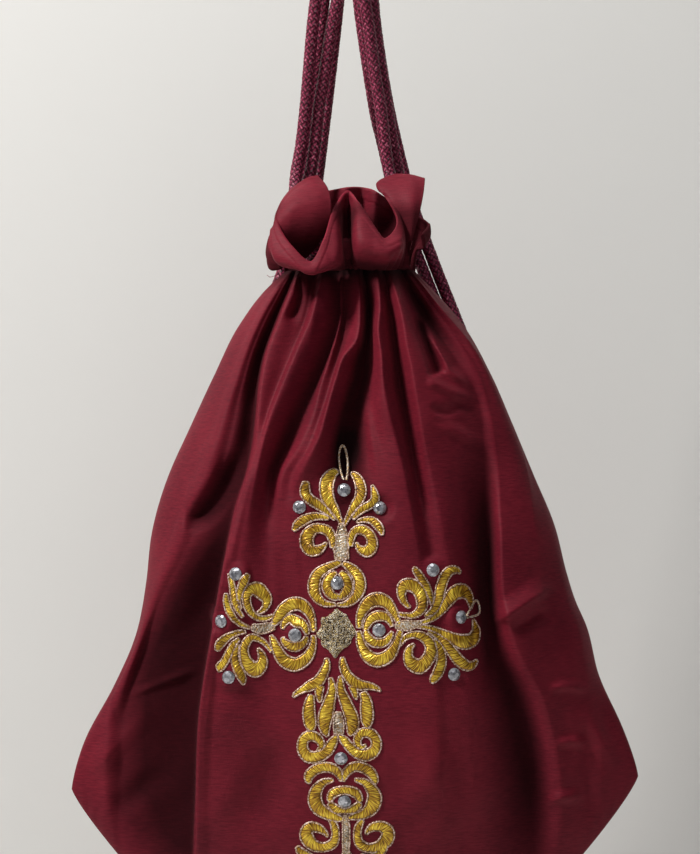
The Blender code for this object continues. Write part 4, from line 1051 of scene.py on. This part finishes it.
def on_front(across, down):
    """Points and normals of the front panel that show at these places, in pixels from the hook.

    The panel's own grid is followed by Newton's steps until its point shows there.
    """
    grid = panels["front_panel_cloth"]
    shows = np.stack(shown(grid), axis=-1)
    normal = -normals_of(grid)
    every = np.concatenate([grid, normal, shows], axis=-1)
    ni, nj = shows.shape[:2]
    goal = np.stack([across, down], axis=-1)
    i = np.interp(across, shows[:, nj // 2, 0], np.arange(ni))
    j = np.interp(down, shows[ni // 2, :, 1], np.arange(nj))
    for _ in range(14):
        i, j = np.clip(i, 1, ni - 2.001), np.clip(j, 1, nj - 2.001)
        a, b = i.astype(int), j.astype(int)
        s, t = (i - a)[..., None], (j - b)[..., None]
        here = ((1 - s) * (1 - t) * every[a, b] + s * (1 - t) * every[a + 1, b]
                + (1 - s) * t * every[a, b + 1] + s * t * every[a + 1, b + 1])
        off = goal - here[..., 6:]
        along_i = (every[a + 1, b] - every[a, b])[..., 6:]
        along_j = (every[a, b + 1] - every[a, b])[..., 6:]
        spread = along_i[..., 0] * along_j[..., 1] - along_i[..., 1] * along_j[..., 0]
        spread = np.where(np.abs(spread) < 1e-3, 1e-3, spread)
        step_i = (off[..., 0] * along_j[..., 1] - off[..., 1] * along_j[..., 0]) / spread
        step_j = (along_i[..., 0] * off[..., 1] - along_i[..., 1] * off[..., 0]) / spread
        i, j = i + 0.9 * np.clip(step_i, -9, 9), j + 0.9 * np.clip(step_j, -9, 9)
    out = here[..., 3:6]
    return here[..., :3], out / np.linalg.norm(out, axis=-1, keepdims=True)


def strip_path(strip, arm, step):
    """Middle and width of a strip in pixels from the hook, at equal steps along it."""
    rows = np.array(strip, float)
    scale = np.array(arm["scale"])
    place = rows[:, :2] / scale + np.array(arm["origin"]) - np.array([MIDDLE_COLUMN, HOOK_ROW])
    path = np.concatenate([place, rows[:, 2:] / abs(scale[0])], axis=1)
    fine = curve_through(path, np.linspace(0, 1, 24 * len(path)))
    long = np.concatenate([[0], np.cumsum(np.linalg.norm(np.diff(fine[:, :2], axis=0), axis=1))])
    at = np.linspace(0, long[-1], int(long[-1] * PIXEL / step) + 2)
    return np.stack([np.interp(at, long, fine[:, k]) for k in range(3)], axis=-1), at * PIXEL


def strip_sides(path):
    """The direction across a strip at each point of its middle, and half its width there."""
    travel = np.gradient(path[:, :2], axis=0)
    travel /= np.maximum(np.linalg.norm(travel, axis=1, keepdims=True), 1e-9)
    return np.stack([-travel[:, 1], travel[:, 0]], axis=-1), np.maximum(path[:, 2:], LEAST_WIDTH) / 2


def satin(strips, step=0.00027, columns=11, padding=PADDING):
    """Points, faces, maps and heights of satin stitching; the heights are a tone for painted shade and
    light.

    Across a strip its height is the padding times the square root of 1 - t squared. Along it,
    bundles of threads 1.2 mm wide rise and dip by a tenth of a millimetre.
    """
    points, faces, maps, heights, first = [], [], [], [], 0
    across = np.linspace(-1, 1, columns)
    for number, (strip, arm) in enumerate(strips):
        path, long = strip_path(strip, arm, step)
        side, half = strip_sides(path)
        place = path[:, None, :2] + side[:, None, :] * (across[None, :] * half)[..., None]
        base, out = on_front(place[..., 0], place[..., 1])
        dome = np.sqrt(np.clip(1 - across**2, 0, 1))[None, :] ** 0.8
        rise = np.minimum(padding, 0.55 * half * PIXEL) * dome + 0.00012
        slant = long[:, None] + 0.35 * (across * half * PIXEL) * (1 if number % 2 else -1)
        bundle = np.sin(math.tau * slant / 0.00125 + 1.7 * np.sin(long[:, None] * 1900 + number))
        rise = rise + 0.00017 * bundle * dome
        points.append((base + out * rise[..., None]).reshape(-1, 3))
        faces.append(grid_faces(len(path), columns) + first)
        along, beside = slant / THREAD, across * half * PIXEL / 0.004
        maps.append(np.stack(np.broadcast_arrays(along, beside), axis=-1).reshape(-1, 2))
        # A tone for the material: painted shade towards the edges and between bundles, painted light on
        # their backs.
        heights.append((dome * (0.22 + 0.78 * (bundle * 0.5 + 0.5))).ravel())
        first += len(path) * columns
    return np.concatenate(points), np.concatenate(faces), np.concatenate(maps), np.concatenate(heights)


def edging(strips, radius=0.00050, step=0.00040, sides=6):
    """Points and faces of a two-ply thread couched round each strip, closed on itself."""
    points, faces, first = [], [], 0
    for strip, arm in strips:
        path = strip_path(strip, arm, step)[0]
        side, half = strip_sides(path)
        half = half + 0.35
        edge = np.concatenate([path[:, :2] + side * half, (path[:, :2] - side * half)[::-1]])
        base, out = on_front(edge[:, 0], edge[:, 1])
        line = base + out * 0.00034
        line = (np.roll(line, 1, axis=0) + 2 * line + np.roll(line, -1, axis=0)) / 4
        count = len(line)
        turn = np.linspace(0, math.tau, sides, endpoint=False)[None, :]
        at = np.arange(count)[:, None] * step
        ply = 1 + 0.26 * np.cos(2 * turn - math.tau * at / PLY_REPEAT)
        points.append(tube_points(line, radius * ply, sides).reshape(-1, 3))
        faces.append(grid_faces(count, sides, closed=True, looped=True)[:, ::-1] + first)
        first += count * sides
    return np.concatenate(points), np.concatenate(faces)


def thread_material(name, dark, middle, light, metallic, roughness, pitch, second=None):
    """Shiny thread: painted shade between the bundles, painted light on their backs, fine threads as relief.

    Broad patches of painted sheen, set by noise, are darker or lighter, as the stitches would catch the
    light. A second colour shows in flecks.
    """
    material, tree = new_material(name, {"Metallic": metallic, "Roughness": roughness})
    place = add_node(tree, "UVMap", {}, uv_map="along").outputs["UV"]
    spot = add_node(tree, "TexCoord", {}).outputs["Object"]
    height = add_node(tree, "Attribute", {}, attribute_name="height").outputs["Fac"]
    wave = {"Vector": place, "Scale": pitch, "Distortion": 1.4, "Detail": 1, "Detail Scale": 0.6}
    threads = add_node(tree, "TexWave", wave, wave_type="BANDS", bands_direction="X").outputs["Fac"]
    # Painted sheen: broad patches of noise lighten and darken the thread.
    sheen_patches = maths(tree, "SUBTRACT", noise(tree, spot, 170, 1), 0.5)
    # Painted shade and light from the kept height and the fine threads: dark in grooves, light on crowns.
    tone = maths(tree, "MULTIPLY_ADD", threads, 0.34, height)
    tone = maths(tree, "MULTIPLY_ADD", noise(tree, place, 0.8, 3), 0.5, tone)
    tone = maths(tree, "MULTIPLY_ADD", sheen_patches, 1.7, tone)
    colour = ramp(tree, maths(tree, "MULTIPLY", tone, 0.62), (0.18, dark), (0.55, middle), (0.95, light))
    if second:
        flecks = {"Value": noise(tree, spot, 1300), "From Min": 0.46, "From Max": 0.56}
        chosen = add_node(tree, "MapRange", flecks).outputs["Result"]
        colour = add_node(tree, "Mix", {0: chosen, 6: colour, 7: (*second, 1)},
                          data_type="RGBA", blend_type="MULTIPLY").outputs[2]
    feed_shader(tree, {"Base Color": colour, "Normal": bump(tree, threads, 0.6, 0.00014)})
    return material


def flecked_material(name, constants, scale, *stops):
    """A material whose colour follows noise of this scale from stop to stop."""
    material, tree = new_material(name, constants)
    place = add_node(tree, "TexCoord", {}).outputs["Object"]
    feed_shader(tree, {"Base Color": ramp(tree, noise(tree, place, scale), *stops)})
    return material


gold_thread = thread_material("gold_thread", (0.080, 0.028, 0.003), (0.44, 0.218, 0.010),
                              (1.0, 0.73, 0.075), 0.40, 0.32, 0.16)
silver_thread = thread_material("silver_thread", (0.09, 0.062, 0.045), (0.46, 0.39, 0.31),
                                (0.92, 0.86, 0.78), 0.45, 0.36, 0.16, second=(0.72, 0.50, 0.26))
edge_thread = flecked_material("twisted_edge_thread", {"Metallic": 0.25, "Roughness": 0.38}, 1100,
                               (0.36, (0.13, 0.052, 0.045)), (0.47, (0.50, 0.31, 0.16)),
                               (0.60, (0.88, 0.70, 0.64)))

arms = (RIGHT_ARM, LEFT_ARM, TOP_ARM, TOP_RING, LOWER_ARM, LOWER_RINGS, FOOT)
gold_strips = [(strip, arm) for arm in arms for strip in arm["gold"]]
silver_strips = [(strip, arm) for arm in arms for strip in arm["silver"]]
for name, strips, material, padding in (
    ("gold_satin_stitch", gold_strips, gold_thread, PADDING),
    ("silver_satin_stitch", silver_strips, silver_thread, SILVER_PADDING),
):
    points, faces, maps, heights = satin(strips, padding=padding)
    stitching = add_piece(name, points, faces[:, ::-1], material, maps)
    keep_painted_tone(stitching, heights)
points, faces = edging(gold_strips + silver_strips)
add_piece("twisted_edge", points, faces, edge_thread)

# The middle of the cross is a diamond with lobed sides, worked in small raised coils of silver
# and gold thread with four eyelets.
DIAMOND = {"origin": (300, 590), "scale": 17.42, "outline": (
    (640, 310), (735, 400), (800, 450), (860, 560), (985, 730), (905, 830), (850, 930), (740, 1020),
    (610, 1180), (500, 1040), (400, 950), (370, 860), (285, 770), (370, 640), (390, 500), (480, 470),
), "eyelets": ((510, 570), (780, 540), (500, 890), (770, 880)),
           "across": (290, 1000), "down": (300, 1200), "coil": 46, "eyelet": 24.0}
outline = np.array(DIAMOND["outline"], float)
outline = curve_through(np.vstack([outline, outline[:1]]), np.linspace(0, 1, 361))
middle = outline.mean(axis=0)
# The sides swell out in lobes between the four points.
bearing = np.arctan2(*(outline - middle).T[::-1])
lobes = 1 + 0.08 * np.sin(2 * bearing) ** 2 + 0.012 * np.cos(20 * bearing)
outline = middle + (outline - middle) * lobes[:, None]
share = np.linspace(0.02, 1, 84)
spot = middle + (outline[:, None, :] - middle) * share[None, :, None]
place = spot / DIAMOND["scale"] + np.array(DIAMOND["origin"]) - np.array([MIDDLE_COLUMN, HOOK_ROW])
base, out = on_front(place[..., 0], place[..., 1])
# Each coil is a little ring of purl, set at random within its own square of about 1.5 mm.
chance = np.random.default_rng(7)
coil = np.zeros(spot.shape[:2])
for x in np.arange(*DIAMOND["across"], DIAMOND["coil"]):
    for y in np.arange(*DIAMOND["down"], DIAMOND["coil"]):
        centre = np.array([x, y]) + chance.uniform(-13, 13, 2)
        ring = np.linalg.norm(spot - centre, axis=-1) / chance.uniform(17, 24)
        coil = np.maximum(coil, chance.uniform(0.7, 1.0) * np.exp(-((ring - 0.75) / 0.34) ** 2))
rise = 0.0007 * np.sqrt(np.clip(1 - share**6, 0, 1))[None, :] + 0.00075 * coil
for x, y in DIAMOND["eyelets"]:
    away = (spot[..., 0] - x) ** 2 + (spot[..., 1] - y) ** 2
    rise -= 0.0016 * np.exp(-away / DIAMOND["eyelet"] ** 2)
points = base + out * (0.0001 + np.clip(rise, 0, None) * (1 - share**16)[None, :])[..., None]
purl_thread = thread_material("silver_and_gold_purl", (0.07, 0.045, 0.026), (0.62, 0.54, 0.42),
                              (1.0, 0.97, 0.90), 0.40, 0.30, 0.5, second=(0.90, 0.72, 0.38))
coiled = add_piece("coiled_middle", points, grid_faces(len(outline), len(share))[:, ::-1],
                   purl_thread, spot / 9)
# Painted light on the tops of the coils and painted shade between them.
keep_painted_tone(coiled, 1.35 * coil - 0.2)


# The stones
# Round cut stones, 7.2 mm across, silvered behind and sewn flat to the cloth. Each has a table,
# a ring of star facets, a ring of main facets and a thin girdle.
STONE = 0.0072
crystal, tree = new_material("cut_crystal", {"Metallic": 0.55, "Roughness": 0.16})
place = add_node(tree, "TexCoord", {}).outputs["Object"]
# Painted reflection: cells of noise, from dark to light, stand in for what the facets mirror.
painted_reflections = add_node(tree, "TexVoronoi", {"Vector": place, "Scale": 620}).outputs["Color"]
feed_shader(tree, {"Base Color": ramp(tree, painted_reflections, (0.0, (0.10, 0.10, 0.12)), (1.0, (0.66, 0.67, 0.72)))})

# Rings of the cut: radius as a share of the stone, height in millimetres, points, turn in points
CUT = ((0.49, 0.0, 16, 0.0), (0.50, 0.35, 16, 0.0), (0.50, 0.6, 16, 0.0), (0.385, 1.35, 8, 0.25),
       (0.265, 1.9, 8, 0.75))
for solid in stone_solids:
    base, normal = stone_seat(solid)
    side = np.cross(normal, [0.3, 0.1, 1.0])
    side /= np.linalg.norm(side)
    other = np.cross(normal, side)
    points, starts = [], []
    for radius, height, count, turned in CUT:
        turn = math.tau * (np.arange(count) + turned * 16 / count / 2) / count
        starts.append(sum(len(p) for p in points))
        points.append(base + normal * height / 1000
                      + radius * STONE * (side * np.cos(turn)[:, None] + other * np.sin(turn)[:, None]))
    a = np.arange(16)
    faces = [tuple(a[::-1])]
    for low in (0, 16):
        faces += [(low + k, low + (k + 1) % 16, low + 16 + (k + 1) % 16, low + 16 + k) for k in range(16)]
    girdle, star, flat = starts[2], starts[3], starts[4]
    for k in range(8):
        nxt = (k + 1) % 8
        faces += [(girdle + 2 * k, girdle + 2 * k + 1, star + k),
                  (girdle + 2 * k + 1, girdle + (2 * k + 2) % 16, star + k),
                  (girdle + (2 * k + 2) % 16, star + nxt, star + k),
                  (star + k, star + nxt, flat + k), (star + nxt, flat + nxt, flat + k)]
    faces.append(tuple(flat + np.arange(8)))
    cut = add_piece(solid.name.replace("stone_", "cut_stone_"), np.concatenate(points),
                    [tuple(int(i) for i in f) for f in faces], crystal, smooth=False)
    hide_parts(solid.name)


# Loose loops of silver thread
# Two loops of couching cord have come away at the tips of the top and right arms. Each stands
# out from the cloth by so many millimetres, and runs through (across, down) in the photo's pixels.
LOOPS = (
    ("top_silver_loop", 3.0, (
        (344, 481), (340.5, 470), (339, 458), (340, 449), (342.6, 445.5), (345.3, 449), (347.4, 459),
        (347.8, 470), (346.5, 480))),
    ("right_silver_loop", 1.6, (
        (467, 615.5), (469, 611.5), (471.6, 606.5), (474.2, 602), (476.4, 600.4), (478.2, 602.4),
        (479.4, 607), (479.6, 611.5), (477.8, 614.6), (473, 616.2), (466.5, 617.5))),
)
LOOP_RINGS, LOOP_SIDES, LOOP_REPEAT = 90, 10, 0.0022
LOOP_THICK = 0.00062
t = np.linspace(-1, 1, LOOP_RINGS)
turn = np.linspace(0, math.tau, LOOP_SIDES, endpoint=False)[None, :]
for name, stands_out, rows in LOOPS:
    line = np.array(rows, float) - np.array([MIDDLE_COLUMN, HOOK_ROW])
    line = curve_through(line, np.linspace(0, 1, LOOP_RINGS))
    base, out = on_front(line[:, 0], line[:, 1])
    forward = np.polyval(np.polyfit(t, -1000 * base[:, 1], 2), t) + 0.6 + stands_out * (1 - t**4)
    line = seen(line[:, 0], line[:, 1], forward)
    long = np.arange(LOOP_RINGS)[:, None] * np.linalg.norm(np.diff(line, axis=0), axis=1).mean()
    twist = np.cos(2 * turn - math.tau * long / LOOP_REPEAT)
    maps = np.stack(np.broadcast_arrays(long / THREAD, turn), axis=-1)
    loop = add_piece(name, tube_points(line, LOOP_THICK * (1 + 0.12 * twist), LOOP_SIDES),
                     tube_faces(LOOP_RINGS, LOOP_SIDES), silver_thread, maps)
    # Painted light on the crowns of the plies and painted shade between them.
    keep_painted_tone(loop, 0.7 + 0.3 * twist)


# Loose threads
# Three ends of burgundy sewing thread that have worked loose, two at the left of the neck and
# one beside the right flap. Each is a row of (across, down, forward), in pixels and millimetres.
LOOSE_THREADS = (
    ("left_curled_thread", (
        (-66, 300, 24), (-72, 303, 30), (-78, 302, 31), (-80, 306, 29), (-77, 310, 28), (-73, 307, 29))),
    ("left_short_thread", ((-72, 347, 15), (-76, 348, 20), (-80, 349, 21), (-83, 347, 20))),
    ("right_short_thread", ((54, 262, 12), (56, 268, 16), (53, 274, 17), (57, 281, 15))),
)
END_RINGS, END_SIDES, END_THICK = 60, 8, 0.00016
loose_thread = flecked_material("sewing_thread", {"Roughness": 0.5}, 900,
                                (0.0, (0.10, 0.008, 0.018)), (1.0, (0.42, 0.10, 0.12)))
for name, rows in LOOSE_THREADS:
    line = seen(*curve_through(rows, np.linspace(0, 1, END_RINGS)).T)
    add_piece(name, tube_points(line, END_THICK, END_SIDES), tube_faces(END_RINGS, END_SIDES), loose_thread)


# The stage
# A plain pale wall behind the bag, a pale floor below it, and soft light from above and
# from the front. The wall is bare to the eye from behind, so that the back can be looked at.
wall_material, tree = new_material("pale_wall", {"Base Color": (0.74, 0.735, 0.715, 1), "Roughness": 0.75})
behind = add_node(tree, "NewGeometry", {}).outputs["Backfacing"]
clear = add_node(tree, "BsdfTransparent", {}).outputs["BSDF"]
wall_shader = tree.nodes["Principled BSDF"].outputs["BSDF"]
either = add_node(tree, "MixShader", {"Fac": behind, 1: wall_shader, 2: clear}).outputs["Shader"]
tree.links.new(either, tree.nodes["Material Output"].inputs["Surface"])
floor_material, tree = new_material("pale_floor", {"Base Color": (0.70, 0.69, 0.67, 1), "Roughness": 0.8})
WALL, FLOOR = 0.26, -0.80  # how far behind and below the hook they are
for name, corners, material in (
    ("stage_wall", ((-3, WALL, FLOOR), (3, WALL, FLOOR), (3, WALL, 2.4), (-3, WALL, 2.4)), wall_material),
    ("stage_floor", ((-3, -3, FLOOR), (3, -3, FLOOR), (3, 2, FLOOR), (-3, 2, FLOOR)), floor_material),
):
    mesh = bpy.data.meshes.new(name)
    mesh.from_pydata(corners, [], [(0, 1, 2, 3)])
    mesh.materials.append(material)
    stage = bpy.data.objects.new(name, mesh)
    bpy.context.scene.collection.objects.link(stage)

LIT = Vector((0, 0, -0.36))  # what the lights are turned to
for name, place, size, power, colour in (
    ("key_light", (-1.15, -0.85, 1.10), 0.42, 43, (1.0, 0.985, 0.96)),
    ("front_light", (0.6, -2.0, 0.45), 1.0, 2.6, (0.97, 0.985, 1.0)),
    ("wall_light", (0.2, -0.5, 1.5), 1.0, 7, (1.0, 0.99, 0.98)),
    ("back_light", (0.3, 1.6, 0.5), 1.2, 8, (1.0, 0.99, 0.98)),
):
    light = bpy.data.lights.new(name, "AREA")
    light.shape, light.size, light.energy, light.color = "DISK", size, power, colour
    lamp = bpy.data.objects.new(name, light)
    lamp.location = place
    lamp.rotation_euler = (LIT - Vector(place)).to_track_quat("-Z", "Y").to_euler()
    bpy.context.scene.collection.objects.link(lamp)
world = bpy.data.worlds.new("studio")
world.use_nodes = True
world.node_tree.nodes["Background"].inputs["Color"].default_value = (0.82, 0.87, 1.0, 1)
world.node_tree.nodes["Background"].inputs["Strength"].default_value = 0.05
bpy.context.scene.world = world
bpy.context.scene.view_settings.view_transform = "Standard"
